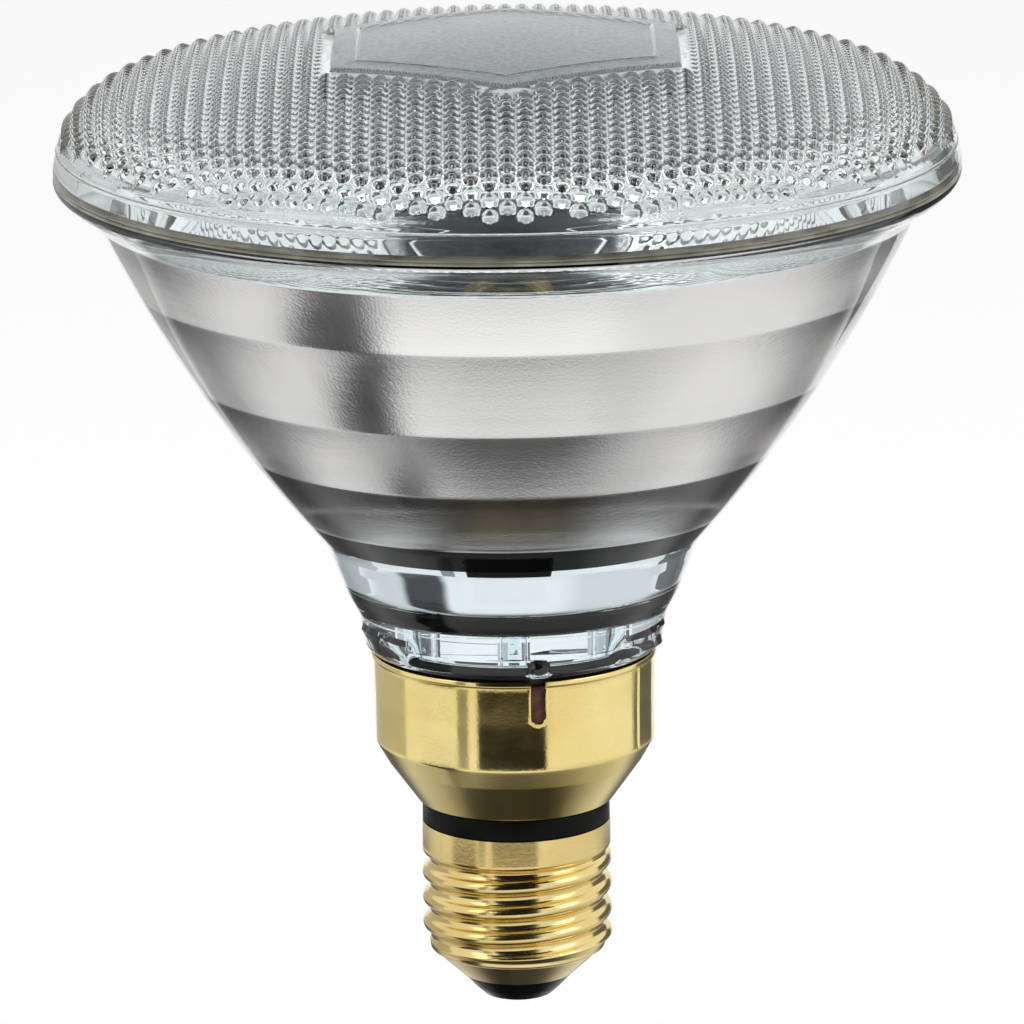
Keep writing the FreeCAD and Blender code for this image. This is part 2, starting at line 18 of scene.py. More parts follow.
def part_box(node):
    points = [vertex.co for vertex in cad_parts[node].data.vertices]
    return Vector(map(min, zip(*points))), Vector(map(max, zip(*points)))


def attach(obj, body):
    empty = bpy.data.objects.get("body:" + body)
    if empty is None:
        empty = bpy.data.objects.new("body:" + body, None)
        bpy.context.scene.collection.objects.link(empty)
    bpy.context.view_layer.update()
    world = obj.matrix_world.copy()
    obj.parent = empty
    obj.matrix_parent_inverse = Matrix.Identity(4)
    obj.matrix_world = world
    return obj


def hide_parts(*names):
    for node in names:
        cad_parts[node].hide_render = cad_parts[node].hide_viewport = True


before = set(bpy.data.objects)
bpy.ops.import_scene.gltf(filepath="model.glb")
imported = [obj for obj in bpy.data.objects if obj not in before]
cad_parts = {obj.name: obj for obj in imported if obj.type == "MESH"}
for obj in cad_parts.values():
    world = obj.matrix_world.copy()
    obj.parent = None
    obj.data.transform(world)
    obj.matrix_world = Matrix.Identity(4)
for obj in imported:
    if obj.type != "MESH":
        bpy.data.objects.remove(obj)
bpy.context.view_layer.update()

MM = 0.001


def place_of(node):
    """Lowest and highest corner of a solid of the frame, as two arrays in millimetres."""
    return [np.array(corner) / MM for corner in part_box(node)]

# %% [markdown]
# Nearly every piece of a lamp is turned about its axis, so most meshes here are a profile
# carried round Z. A profile is an array of (radius, height) pairs. Blender could spin a curve
# with its Screw modifier, but a grid worked out with numpy lets any point of the surface be
# moved by a formula of angle and height, which is how the thread, the lumps and the seam line
# are made.

# %% Profiles
def swept(centre, first, last, turn, steps):
    """Points round a centre, from the first arm to the last, in even steps of the turn between."""
    share = np.linspace(0, 1, steps + 1)[:, None]
    arm = np.sin((1 - share) * turn) * first + np.sin(share * turn) * last
    return centre + arm / math.sin(turn)


def rounded(corners, steps=5):
    """A profile through corners (radius, height[, rounding]) in mm.

    Each rounding is an arc of that radius that touches both sides, at the radius divided by
    the tangent of half the angle between them.
    """
    spots = [np.array(corner[:2], float) for corner in corners]
    path = [spots[0]]
    for before, here, after, corner in zip(spots, spots[1:], spots[2:], corners[1:]):
        back, on = before - here, after - here
        back, on = back / np.hypot(*back), on / np.hypot(*on)
        half = math.acos(np.clip(back @ on, -1, 1)) / 2
        if len(corner) < 3 or corner[2] == 0 or half > math.pi / 2 - 1e-3:
            path.append(here)
            continue
        radius = corner[2]
        centre = here + (back + on) / np.hypot(*(back + on)) * radius / math.sin(half)
        first = here + back * radius / math.tan(half) - centre
        last = here + on * radius / math.tan(half) - centre
        path.extend(swept(centre, first, last, math.pi - 2 * half, steps))
    path.append(spots[-1])
    return np.array(path)


def arc(start, end, radius, steps):
    """Points of the arc from start to end, which bulges to the left of the way there.

    Its centre lies on the right of the middle, at the root of radius squared less half the
    chord squared. A negative radius turns the sides about.
    """
    start, end = np.array(start, float), np.array(end, float)
    along = end - start
    left = np.array([-along[1], along[0]]) / np.hypot(*along)
    depth = math.sqrt(radius**2 - (np.hypot(*along) / 2) ** 2)
    centre = (start + end) / 2 - left * math.copysign(depth, radius)
    turn = 2 * math.asin(np.hypot(*along) / 2 / abs(radius))
    return swept(centre, start - centre, end - centre, turn, steps)


def refined(path, longest):
    """The profile with straight runs divided so that no step is longer than that, in mm."""
    pieces = []
    for start, end in zip(path, path[1:]):
        count = max(1, math.ceil(np.hypot(*(end - start)) / longest))
        pieces.append(start + (end - start) * (np.arange(count) / count)[:, None])
    return np.vstack([*pieces, path[-1:]])

# %% Meshes
def placed(name, data):
    """A new object of the scene with that mesh, camera or lamp."""
    thing = bpy.data.objects.new(name, data)
    bpy.context.scene.collection.objects.link(thing)
    return thing


def filled(name, points, *faces):
    """An object from points in mm and arrays of faces, each array with faces of one size."""
    sizes = np.concatenate([np.full(len(block), block.shape[1]) for block in faces])
    corners = np.concatenate([block.ravel() for block in faces]).astype(np.int32)
    mesh = bpy.data.meshes.new(name)
    mesh.vertices.add(len(points))
    mesh.vertices.foreach_set("co", (np.asarray(points) * MM).astype(np.float32).ravel())
    mesh.loops.add(len(corners))
    mesh.loops.foreach_set("vertex_index", corners)
    mesh.polygons.add(len(sizes))
    first_corners = np.concatenate([[0], np.cumsum(sizes)[:-1]])
    mesh.polygons.foreach_set("loop_start", first_corners.astype(np.int32))
    mesh.update(calc_edges=True)
    return placed(name, mesh)


def grid_faces(rows, columns, ring, loop):
    """Quads between the neighbours of a grid.

    A ring joins the last column to the first, and a loop the last row to the first.
    """
    index = np.arange(rows * columns).reshape(rows, columns)
    if loop:
        index = np.vstack([index, index[:1]])
    if ring:
        index = np.hstack([index, index[:, :1]])
    quads = np.stack([index[:-1, :-1], index[1:, :-1], index[1:, 1:], index[:-1, 1:]], axis=-1)
    return quads.reshape(-1, 4)


def closed(thing, crease=30):
    """Merges seams and poles and turns the faces outwards.

    Edges sharper than the crease angle stay sharp, and the rest is smooth.
    """
    mesh = bmesh.new()
    mesh.from_mesh(thing.data)
    bmesh.ops.remove_doubles(mesh, verts=mesh.verts, dist=1e-4 * MM)
    bmesh.ops.dissolve_degenerate(mesh, edges=mesh.edges, dist=1e-5 * MM)
    bmesh.ops.recalc_face_normals(mesh, faces=mesh.faces)
    open_edges = sum(not edge.is_manifold for edge in mesh.edges)
    mesh.to_mesh(thing.data)
    mesh.free()
    thing.data.shade_smooth()
    thing.data.set_sharp_from_angle(angle=math.radians(crease))
    print(f"{thing.name}: {len(thing.data.polygons)} faces, {open_edges} open edges")
    return thing


def round_grid(radius, height, angles):
    """Points (x, y, z) for radius and height arrays that broadcast against the angles."""
    radius, height, angles = np.broadcast_arrays(radius, height, angles)
    return np.stack([radius * np.cos(angles), radius * np.sin(angles), height], axis=-1)


def even_angles(count):
    """Angles of a full turn in equal steps, as one row."""
    return np.linspace(0, 2 * math.pi, count, endpoint=False)[None, :]


def ringed(name, grid, loop=True, crease=30):
    """A closed piece from a grid of points whose rows are rings."""
    faces = grid_faces(*grid.shape[:2], True, loop)
    return closed(filled(name, grid.reshape(-1, 3), faces), crease)


def turned(name, path, segments=128, shift=None, loop=True):
    """A closed piece turned from a profile. shift(radius, height, angle) moves the radius."""
    radius, height = path[:, :1], path[:, 1:]
    angles = even_angles(segments)
    radius = radius + (shift(radius, height, angles) if shift else 0)
    return ringed(name, round_grid(radius, height, angles), loop)


def smooth_step(value):
    """0 below 0 and 1 above 1, with a level start and end between."""
    value = np.clip(value, 0, 1)
    return value * value * (3 - 2 * value)


def bump_between(value, low, high, blend):
    """1 between low and high, fading to 0 over the blend outside."""
    return smooth_step((value - low) / blend + 1) * smooth_step((high - value) / blend + 1)


def apart(angle, other):
    """The signed difference of two angles, between minus and plus half a turn."""
    return (angle - other + math.pi) % (2 * math.pi) - math.pi

# %% [markdown]
# The lens is a shallow dome that rolls over a round shoulder into the rim. Round beads cover it
# in columns, each column half a step off its neighbour, and a plain hexagon fills the middle.
# The beads keep their spacing over the shoulder, so they are laid out on the surface as if it
# were unrolled: a point's distance from the middle is measured along the dome's curve.

# %% Lens sizes
lens_low, lens_high = place_of("lens")
PLATE_RISE = 0.5
SHOULDER = 12.0
LENS_WALL = 3.4
RIM = min(lens_high[0], lens_high[1])
SEAM = lens_low[2]
CROWN = lens_high[2] - PLATE_RISE
SHOULDER_CENTRE = RIM - SHOULDER
RISE = CROWN - SEAM
DOME = (SHOULDER_CENTRE**2 + RISE**2 - SHOULDER**2) / (2 * (RISE - SHOULDER))
LEAN = math.atan2(SHOULDER_CENTRE, SEAM - CROWN + DOME)
DOME_REACH = DOME * LEAN
print(f"rim radius {RIM:.2f}, dome radius {DOME:.1f}")
print(f"the shoulder starts at {math.degrees(LEAN):.1f} degrees")

BEAD_COLUMN = 2.39
BEAD_STEP = 2.36
BEAD_BALL = 1.17
BEAD_FOOT = 1.07
BEAD_TO_EDGE = 1.0
BEAD_TO_PLATE = 1.25
FIELD_DEPTH = 0.25
FIELD_BLEND = 0.8
FIELD_END_HEIGHT = 122.6
PLATE_HALF = 23.6
PLATE_BLEND = 0.35
FRAME_HALF = 20.0
FRAME_RISE = 0.14
FRAME_LINE_HALF = 0.28
PANEL_SINK = 0.12
PANEL_BLEND = 0.4
SAMPLES = 6
RIM_SEGMENTS = 432


def lean_of(distance):
    """How far the surface leans at a distance along it.

    That is the distance over the dome's radius, and what is past the dome over the shoulder's.
    """
    past_dome = LEAN + (distance - DOME_REACH) / SHOULDER
    return np.where(distance < DOME_REACH, distance / DOME, past_dome)


def lens_point(x, y, height):
    """Unrolled x, y and a height above the surface, as a point in space."""
    distance = np.hypot(x, y)
    lean = lean_of(distance)
    on_dome = distance < DOME_REACH
    radius = np.where(on_dome, DOME * np.sin(lean), SHOULDER_CENTRE + SHOULDER * np.sin(lean))
    level = np.where(on_dome, CROWN - DOME * (1 - np.cos(lean)), SEAM + SHOULDER * np.cos(lean))
    radius = radius + height * np.sin(lean)
    level = level + height * np.cos(lean)
    angle = np.arctan2(y, x)
    return np.stack([radius * np.cos(angle), radius * np.sin(angle), level], axis=-1)


def lean_at_height(level):
    """How far the shoulder leans there: the angle whose cosine is the height over its radius."""
    return math.acos((level - SEAM) / SHOULDER)


FIELD_END = DOME_REACH + SHOULDER * (lean_at_height(FIELD_END_HEIGHT) - LEAN)


def hexagon_depth(x, y, half):
    """How far a point lies inside a hexagon: half its width less the distance across its flats."""
    across = [x * math.cos(turn) + y * math.sin(turn) for turn in np.radians([0, 60, 120])]
    return half - np.max(np.abs(across), axis=0)


def bead_height(x, y):
    """Height of the ball over the nearest bead centre, or 0 where there is no bead."""
    best = np.full(np.shape(x), 9.0)
    present = np.zeros(np.shape(x), bool)
    for side in (0, 1):
        column = np.floor(x / BEAD_COLUMN) + side
        offset = (column % 2) * BEAD_STEP / 2
        step = np.round((y - offset) / BEAD_STEP)
        centre_x, centre_y = column * BEAD_COLUMN, step * BEAD_STEP + offset
        away = np.hypot(x - centre_x, y - centre_y)
        in_field = np.hypot(centre_x, centre_y) < FIELD_END - BEAD_TO_EDGE
        off_plate = hexagon_depth(centre_x, centre_y, PLATE_HALF) < -BEAD_TO_PLATE
        nearer = away < best
        best = np.where(nearer, away, best)
        present = np.where(nearer, in_field & off_plate, present)
    foot = math.sqrt(BEAD_BALL**2 - BEAD_FOOT**2)
    ball = np.sqrt(np.maximum(BEAD_BALL**2 - np.minimum(best, BEAD_FOOT) ** 2, 0)) - foot
    return np.where(present, ball, 0)


def lens_height(x, y):
    """Beads, the sunk ground between them, the hexagon plate and the frame line on it."""
    ground = -FIELD_DEPTH * smooth_step((FIELD_END - np.hypot(x, y)) / FIELD_BLEND)
    plate = smooth_step(hexagon_depth(x, y, PLATE_HALF) / PLATE_BLEND)
    line = hexagon_depth(x, y, FRAME_HALF)
    ridge = FRAME_RISE * (1 - smooth_step(np.abs(line) / FRAME_LINE_HALF))
    ridge = ridge - PANEL_SINK * smooth_step(line / PANEL_BLEND)
    raised = ground * (1 - plate) + (PLATE_RISE + ridge - FRAME_RISE) * plate
    return raised + bead_height(x, y) * (1 - plate)

# %% [markdown]
# The outer skin is drawn flat first, as points on the unrolled surface. The beads are sampled
# in the same slanted rows that they stand in, so that each bead gets the same facets. Chains of
# points follow the edges of the plate, of its frame line and of the rim. Blender's own flat
# triangulation joins them all, and the formulas above then lift each point to its place.

# %% Lens outer skin
def hexagon_ring(half, spacing):
    """Evenly spaced points along a hexagon's sides."""
    corners = half / math.cos(math.pi / 6) * np.array(
        [[math.cos(a), math.sin(a)] for a in np.radians(np.arange(30, 390, 60))]
    )
    count = max(2, int(np.hypot(*(corners[1] - corners[0])) / spacing))
    share = (np.arange(count) / count)[None, :, None]
    following = np.roll(corners, -1, axis=0)
    return (corners[:, None] * (1 - share) + following[:, None] * share).reshape(-1, 2)


FIELD_EDGE = 0.1
PLATE_EDGE = 0.45
PANEL_SPACING = 1.3
PANEL_EDGE = 1.1
CHAIN_SPACING = 0.5
SAME_POINT = 1e-5

reach = int(FIELD_END / BEAD_COLUMN * SAMPLES) + SAMPLES
column, step = np.meshgrid(
    np.arange(-reach, reach + 1), np.arange(-2 * reach, 2 * reach + 1), indexing="ij"
)
x, y = column * BEAD_COLUMN / SAMPLES, (step + column / 2) * BEAD_STEP / SAMPLES
used = (np.hypot(x, y) < FIELD_END - FIELD_EDGE) & (hexagon_depth(x, y, PLATE_HALF) < -PLATE_EDGE)
field = np.stack([x[used], y[used]], axis=-1)
panel_line = np.arange(-1.2 * FRAME_HALF, 1.2 * FRAME_HALF, PANEL_SPACING)
x, y = np.meshgrid(panel_line, panel_line, indexing="ij")
used = hexagon_depth(x, y, FRAME_HALF) > PANEL_EDGE
panel = np.stack([x[used], y[used]], axis=-1)
plate_steps = PLATE_HALF + np.array([0.15, 0, -0.18, -0.4])
frame_steps = FRAME_HALF + np.array([1.6, 0.35, 0.15, 0, -0.2, -0.4, -0.7])
chains = [hexagon_ring(half, CHAIN_SPACING) for half in (*plate_steps, *frame_steps)]
belt_reach = [FIELD_END + 0.2, FIELD_END + 0.55]
turn = even_angles(RIM_SEGMENTS)[0]
chains += [radius * np.stack([np.cos(turn), np.sin(turn)], axis=-1) for radius in belt_reach]
plane = np.vstack([field, panel, *chains])
edges, start = [], len(field) + len(panel)
for chain in chains:
    ids = np.arange(len(chain))
    edges.append(np.stack([ids, (ids + 1) % len(chain)], axis=-1) + start)
    start += len(chain)
drawn = delaunay_2d_cdt(
    [Vector(point) for point in plane.tolist()], np.vstack(edges).tolist(), [], 0, SAME_POINT
)
plane = np.array([tuple(v) for v in drawn[0]])
outer_points = lens_point(plane[:, 0], plane[:, 1], lens_height(plane[:, 0], plane[:, 1]))
outer_faces = np.array(drawn[2])
print(f"lens skin: {len(outer_points)} points, {len(outer_faces)} triangles")

# %% [markdown]
# Below the beads the skin goes on as a turned grid: a smooth belt, a small ledge, the rim down
# to the seam, and the plain inside of the lens. Faces of the panel and of the seam get an index
# of their own, which picks their finish later.

# %% Lens rim and inside
LEDGE = 121.4
LEDGE_HALF = 0.25
SEAM_GAP = 0.03
SEAM_LINE_HALF = 0.33


def on_circle(centre, level, radius, lean):
    """Profile points round a centre on the shoulder's or dome's circle, by their lean."""
    return np.stack([centre + radius * np.sin(lean), level + radius * np.cos(lean)], axis=-1)


def shoulder_run(high, low, steps):
    """Points of the shoulder arc between two heights."""
    lean = np.linspace(lean_at_height(high), lean_at_height(low), steps)
    return on_circle(SHOULDER_CENTRE, SEAM, SHOULDER, lean)


belt_height = SEAM + SHOULDER * math.cos(LEAN + (belt_reach[-1] - DOME_REACH) / SHOULDER)
belt = shoulder_run(belt_height, LEDGE + LEDGE_HALF, 6)
rim_low = shoulder_run(LEDGE - LEDGE_HALF, SEAM + 0.45, 8)
ledge_radius = SHOULDER_CENTRE + SHOULDER * math.sin(lean_at_height(LEDGE))
ledge = rounded([
    belt[-1], (ledge_radius - 0.14, LEDGE, 0.1), (ledge_radius + 0.06, LEDGE - 0.02, 0.12),
    rim_low[0],
])
foot = rounded([
    rim_low[-1], (RIM - 0.02, SEAM + 0.3, 0.3), (RIM - 0.35, SEAM + SEAM_GAP, 0.1),
    (RIM - LENS_WALL, SEAM + SEAM_GAP, 0.15), (RIM - LENS_WALL, SEAM + 0.4),
])
inside_shoulder = on_circle(
    SHOULDER_CENTRE, SEAM, SHOULDER - LENS_WALL, np.linspace(math.pi / 2 - 0.03, LEAN, 8)
)
inside_dome = on_circle(0, CROWN - DOME, DOME - LENS_WALL, np.linspace(LEAN, 0, 9)[1:])
lens_path = np.vstack([belt, ledge[1:-1], rim_low, foot[1:], inside_shoulder, inside_dome])
lens_grid = round_grid(lens_path[:, :1], lens_path[:, 1:], even_angles(RIM_SEGMENTS))
rim_faces = grid_faces(len(lens_path), RIM_SEGMENTS, True, False) + len(outer_points)
lens_points = np.vstack([outer_points, lens_grid.reshape(-1, 3)])
lens_glass = closed(filled("lens_glass", lens_points, outer_faces, rim_faces), crease=40)


def of_faces(thing, what):
    """The center, in metres, or the normal of each face."""
    values = np.empty(len(thing.data.polygons) * 3)
    thing.data.polygons.foreach_get(what, values)
    return values.reshape(-1, 3)


def set_finishes(thing, index):
    """Gives each face the number of its finish, and prints how many faces have each."""
    thing.data.polygons.foreach_set("material_index", index.astype(np.int32))
    print(f"{thing.name}, faces by finish:", np.bincount(index))


PANEL_LOWEST = CROWN - 2.5
PANEL_INSET = 0.3
x, y, level = (of_faces(lens_glass, "center") / MM).T
on_plate = (hexagon_depth(x, y, PLATE_HALF) > PANEL_INSET) & (level > PANEL_LOWEST)
on_line = np.abs(hexagon_depth(x, y, FRAME_HALF)) < FRAME_LINE_HALF
on_seam = np.abs(level - SEAM) < SEAM_LINE_HALF
set_finishes(lens_glass, (on_plate & ~on_line) + 2 * on_seam)

# %% [markdown]
# The bowl is one pressing. Outside, a long curve runs from the flange down to the neck, which
# the cap holds. Inside, four bands stand one above the other, and the silver film covers them.
# Three lumps on the neck lock the cap against turning, and a small nib marks where the slot
# of the skirt belongs.

# %% Bowl
bowl_low = place_of("reflector_bowl")[0]
film_low, film_high = place_of("mirror_coating")
FOCUS = 73.9
FOCAL_LENGTH = 13.0
BAND_HEIGHTS = [film_low[2], 80.8, 90.7, 103.3, film_high[2]]
BAND_BOW = -0.09
NECK_COLLAR = 20.4
HEEL_RADIUS = 18.2
HEEL_BORE = 15.0
HEEL_FLOOR = place_of("ferrule_left")[1][2]
CAVITY_FLOOR = HEEL_FLOOR + 5.5
SLOT_TURN = math.radians(9.4 - 90)
LUMP_TURNS = np.radians([-150, -30, 90])
LUMP_HALF, LUMP_BLEND = math.radians(13), math.radians(9)
LUMP_LOW, LUMP_HIGH, LUMP_RISE = 52.2, 54.4, 0.9
NIB_HEIGHT, NIB_RISE, NIB_HALF = 52.4, 1.3, 1.5
NECK_WALL, NECK_TOP = 20.2, 60
BOWL_SEGMENTS = 288


def mirror_radius(height):
    """Radius of the paraboloid about the coil.

    That is twice the root of the focal length times the height above the vertex.
    """
    return 2 * math.sqrt(FOCAL_LENGTH * (height - FOCUS + FOCAL_LENGTH))


def band_run(low, high, steps=7):
    """One band of the mirror from its low edge up: straight, but for a bow in its middle."""
    share = np.linspace(0, 1, steps)
    radius = mirror_radius(low) + (mirror_radius(high) - mirror_radius(low)) * share
    radius = radius + BAND_BOW * 4 * share * (1 - share)
    return np.stack([radius, low + (high - low) * share], axis=-1)


bands = np.vstack([band_run(low, high) for low, high in zip(BAND_HEIGHTS, BAND_HEIGHTS[1:])])
flange = rounded([
    (RIM - LENS_WALL, SEAM - SEAM_GAP), (RIM - 0.35, SEAM - SEAM_GAP, 0.1),
    (RIM - 0.02, SEAM - 0.35, 0.3), (RIM - 0.04, 116.7, 1.2), (60.0, 115.3, 1.2),
    (56.3, 112.4, 0.6), (55.6, 111.9, 0.4), (54.95, 110.6),
])
bowl_side = arc((54.95, 110.6), (25.9, 66.5), 189.0, 40)
neck = rounded([
    (25.9, 66.5), (25.45, 65.7, 0.4), (24.95, 64.2, 4.0), (22.7, 58.6, 6.0), (21.45, 56.3, 3.0),
    (20.6, 53.6, 2.0), (20.4, 51.6, 0.2), (19.9, 50.85, 0.2), (HEEL_RADIUS, 50.85, 0.2),
    (HEEL_RADIUS, bowl_low[2], 0.5), (HEEL_BORE, bowl_low[2], 0.5),
    (HEEL_BORE, HEEL_FLOOR, 0.8), (0, HEEL_FLOOR),
])
well = rounded([
    (0, CAVITY_FLOOR), (14.0, CAVITY_FLOOR), (17.0, CAVITY_FLOOR, 2.5),
    (20.6, CAVITY_FLOOR + 3.1, 2.5), (*bands[0], 5.0), tuple(bands[1]),
], steps=8)
bowl_inside = np.vstack([well, bands[2:], [(RIM - LENS_WALL, SEAM - 0.4)]])
bowl_outside = np.vstack([flange, refined(bowl_side[1:], 1.2), refined(neck, 0.8)[1:]])
bowl_path = np.vstack([bowl_outside, bowl_inside])


def neck_lumps(radius, height, angle):
    """Three low cushions on the collar of the neck, and the nib over the slot."""
    outside = smooth_step((radius - NECK_WALL) / 0.2) * (height < NECK_TOP)
    lumps = 0
    for turn in LUMP_TURNS:
        near = bump_between(apart(angle, turn), -LUMP_HALF, LUMP_HALF, LUMP_BLEND)
        wavy = 0.75 + 0.25 * np.cos(14 * angle + 1.3 * height)
        lumps = lumps + LUMP_RISE * near * wavy * bump_between(height, LUMP_LOW, LUMP_HIGH, 0.9)
    beside = apart(angle, SLOT_TURN) * NECK_COLLAR / NIB_HALF
    above = (height - NIB_HEIGHT) / NIB_RISE
    nib = NIB_RISE * np.sqrt(np.maximum(1 - beside**2 - above**2, 0))
    return (lumps + nib) * outside


bowl_glass = turned("bowl_glass", bowl_path, BOWL_SEGMENTS, neck_lumps)

# %% [markdown]
# Two ferrules and the exhaust tube pass through the heel of the glass, so round holes are cut
# there with Blender's exact Boolean. The cut mesh then takes the place of the first one.

# %% Passages through the heel
def cut_away(thing, tools):
    """Takes the tools out of a piece, keeps the result as its mesh and closes it again."""
    for tool in tools:
        modifier = thing.modifiers.new("cut", "BOOLEAN")
        modifier.operation, modifier.object, modifier.solver = "DIFFERENCE", tool, "EXACT"
    graph = bpy.context.evaluated_depsgraph_get()
    mesh = bpy.data.meshes.new_from_object(thing.evaluated_get(graph))
    thing.modifiers.clear()
    thing.data = mesh
    for tool in tools:
        bpy.data.objects.remove(tool)
    return closed(thing)


PASSAGE_LOW, PASSAGE_HIGH = 45, 66
POST_SPACING = 18.0
FERRULE_HOLE = 2.2
EXHAUST_HOLE = 1.5
POST_X = POST_SPACING / 2
passages = []
for x, radius in ((0, EXHAUST_HOLE), (-POST_X, FERRULE_HOLE), (POST_X, FERRULE_HOLE)):
    side = [(radius, PASSAGE_LOW), (radius, PASSAGE_HIGH)]
    path = np.array([(0, PASSAGE_LOW), *side, (0, PASSAGE_HIGH)])
    passage = turned("passage_tool", path, 48, loop=False)
    passage.data.transform(Matrix.Translation((x * MM, 0, 0)))
    passages.append(passage)
cut_away(bowl_glass, passages)

x, y, level = (of_faces(bowl_glass, "center") / MM).T
on_neck = level < BAND_HEIGHTS[0]
on_seam = np.abs(level - SEAM) < SEAM_LINE_HALF
# The heel faces under the cap are near black: the cement on them, and painted shade for the closed
# inside of the cap.
on_heel = (level < HEEL_FLOOR - 0.1) & (np.hypot(x, y) < NECK_COLLAR - 0.45)
set_finishes(bowl_glass, on_neck + 2 * on_seam + 2 * on_heel)

# %% [markdown]
# The mirror is a film of aluminium on the glass. It sinks a few hundredths of a millimetre into
# the glass here, so that light in the glass meets the metal first, as it does on a real lamp.
# Seen from inside the lamp the film is a polished mirror, and seen from outside, through the
# glass, its bands are satin. It also covers the wall of the well in the neck, where the glass
# was pressed smooth, so there it is polished on both sides. The lowest band is given a darker
# colour, which is painted shade, and a near-black ring of the film, also painted shade, parts
# that band from the well.

# %% Film
FILM = 0.12
SUNK = 0.03
# Low end of the painted shade ring, in mm below the lowest band's edge.
SHADE_RING_LOW = -3.3


def unit(rows):
    """Each row scaled to the length 1."""
    return rows / np.linalg.norm(rows, axis=1, keepdims=True)


def offset(path, amount):
    """Each point of a profile moved square to the line of its neighbours, to the right."""
    way = unit(np.gradient(path, axis=0))
    return path + amount * np.stack([way[:, 1], -way[:, 0]], axis=-1)


film_line = refined(np.vstack([well[1:], bands[2:]]), 0.6)
film_path = np.vstack([offset(film_line, SUNK), offset(film_line, SUNK - FILM)[::-1]])
mirror_film = turned("mirror_film", film_path, BOWL_SEGMENTS)
looks_in = of_faces(mirror_film, "normal")[:, 2] > 0
level = of_faces(mirror_film, "center")[:, 2] / MM - BAND_HEIGHTS[0]
on_upper_bands = level > BAND_HEIGHTS[1] - BAND_HEIGHTS[0]
# Index 2 is the painted shade of the lowest band, and index 3 the painted shade ring below it.
set_finishes(mirror_film, np.select(
    [looks_in, on_upper_bands, level > 0.2, level > SHADE_RING_LOW], [1, 0, 2, 3], default=1
))

# %% [markdown]
# The skirt is drawn from thin brass sheet: a rolled lip, a nearly straight wall, a soft crease
# and a cone that turns in under the black ring. A slot in the wall takes the nib of the glass.

# %% Skirt
skirt_low, skirt_high = place_of("skirt")
SKIRT = 19.4
SKIRT_WALL = 0.4
SLOT_WIDTH = 2.0
SLOT_FOOT = 44.4
SLOT_REACH = (15, 23)
BURR_RISE, BURR_OFFSET, BURR_WIDTH = 0.10, 0.16, 0.14
JOINT_TURN = math.radians(60.8 - 90)
JOINT_DEPTH, JOINT_WIDTH = 0.10, 0.16
FOLD_RISE, FOLD_OFFSET, FOLD_WIDTH = 0.05, 0.45, 0.2
skirt_top = skirt_high[2]
WALL_LOW, WALL_HIGH = 38.5, skirt_top - 1.3
skirt_out = rounded([
    (SKIRT - SKIRT_WALL, skirt_top - 0.25), (SKIRT - 0.1, skirt_top, 0.2),
    (SKIRT + 0.3, skirt_top - 0.15, 0.25), (SKIRT + 0.3, skirt_top - 0.75, 0.2),
    (SKIRT, skirt_top - 1.05, 0.25), (SKIRT - 0.12, 44.0, 60.0), (SKIRT - 0.15, 37.6, 0.7),
    (17.6, 34.7, 2.4), (13.5, 29.0, 0.35), (12.6, skirt_low[2], 0.2), (11.2, skirt_low[2]),
])
skirt_in = rounded([
    (11.2, skirt_low[2] + SKIRT_WALL), (12.9, skirt_low[2] + SKIRT_WALL, 0.2), (17.2, 34.9, 2.0),
    (SKIRT - SKIRT_WALL - 0.15, 38.1, 1.2), (SKIRT - SKIRT_WALL, skirt_top - 0.25),
])
skirt_path = np.vstack([refined(skirt_out, 0.6), refined(skirt_in, 1.2)[:-1]])


def uneven_angles(count, *marks):
    """Even angles, with more of them about each mark.

    A mark is an angle, then half a width and a step in mm on the wall of the skirt.
    """
    angles = [even_angles(count)[0]]
    for angle, half, spacing in marks:
        angles.append(angle + np.arange(-half, half + spacing, spacing) / SKIRT)
    angles = np.sort(np.concatenate(angles) % (2 * math.pi))
    keep = np.concatenate([[True], np.diff(angles) > 0.04 / SKIRT])
    return angles[keep][None, :]


def skirt_relief(radius, height, angle):
    """The raised burr round the slot and the fine line of the joint in the sheet."""
    across = apart(angle, SLOT_TURN) * SKIRT
    below = np.minimum(height - (SLOT_FOOT + SLOT_WIDTH / 2), 0)
    edge = np.hypot(across, below) - SLOT_WIDTH / 2
    burr = BURR_RISE * np.exp(-((edge - BURR_OFFSET) / BURR_WIDTH) ** 2)
    burr = burr * (height < skirt_top - 1.0)
    joint = apart(angle, JOINT_TURN) * SKIRT
    fold = FOLD_RISE * np.exp(-(((joint - FOLD_OFFSET) / FOLD_WIDTH) ** 2))
    joint = fold - JOINT_DEPTH * np.exp(-((joint / JOINT_WIDTH) ** 2))
    wall = bump_between(height, WALL_LOW, WALL_HIGH, 0.5)
    return (burr + joint) * wall * (radius > SKIRT - 0.3)


skirt_angles = uneven_angles(240, (SLOT_TURN, 2.0, 0.12), (JOINT_TURN, 0.9, 0.08))
radius, height = skirt_path[:, :1], skirt_path[:, 1:]
radius = radius + skirt_relief(radius, height, skirt_angles)
skirt_brass = ringed("skirt_brass", round_grid(radius, height, skirt_angles))


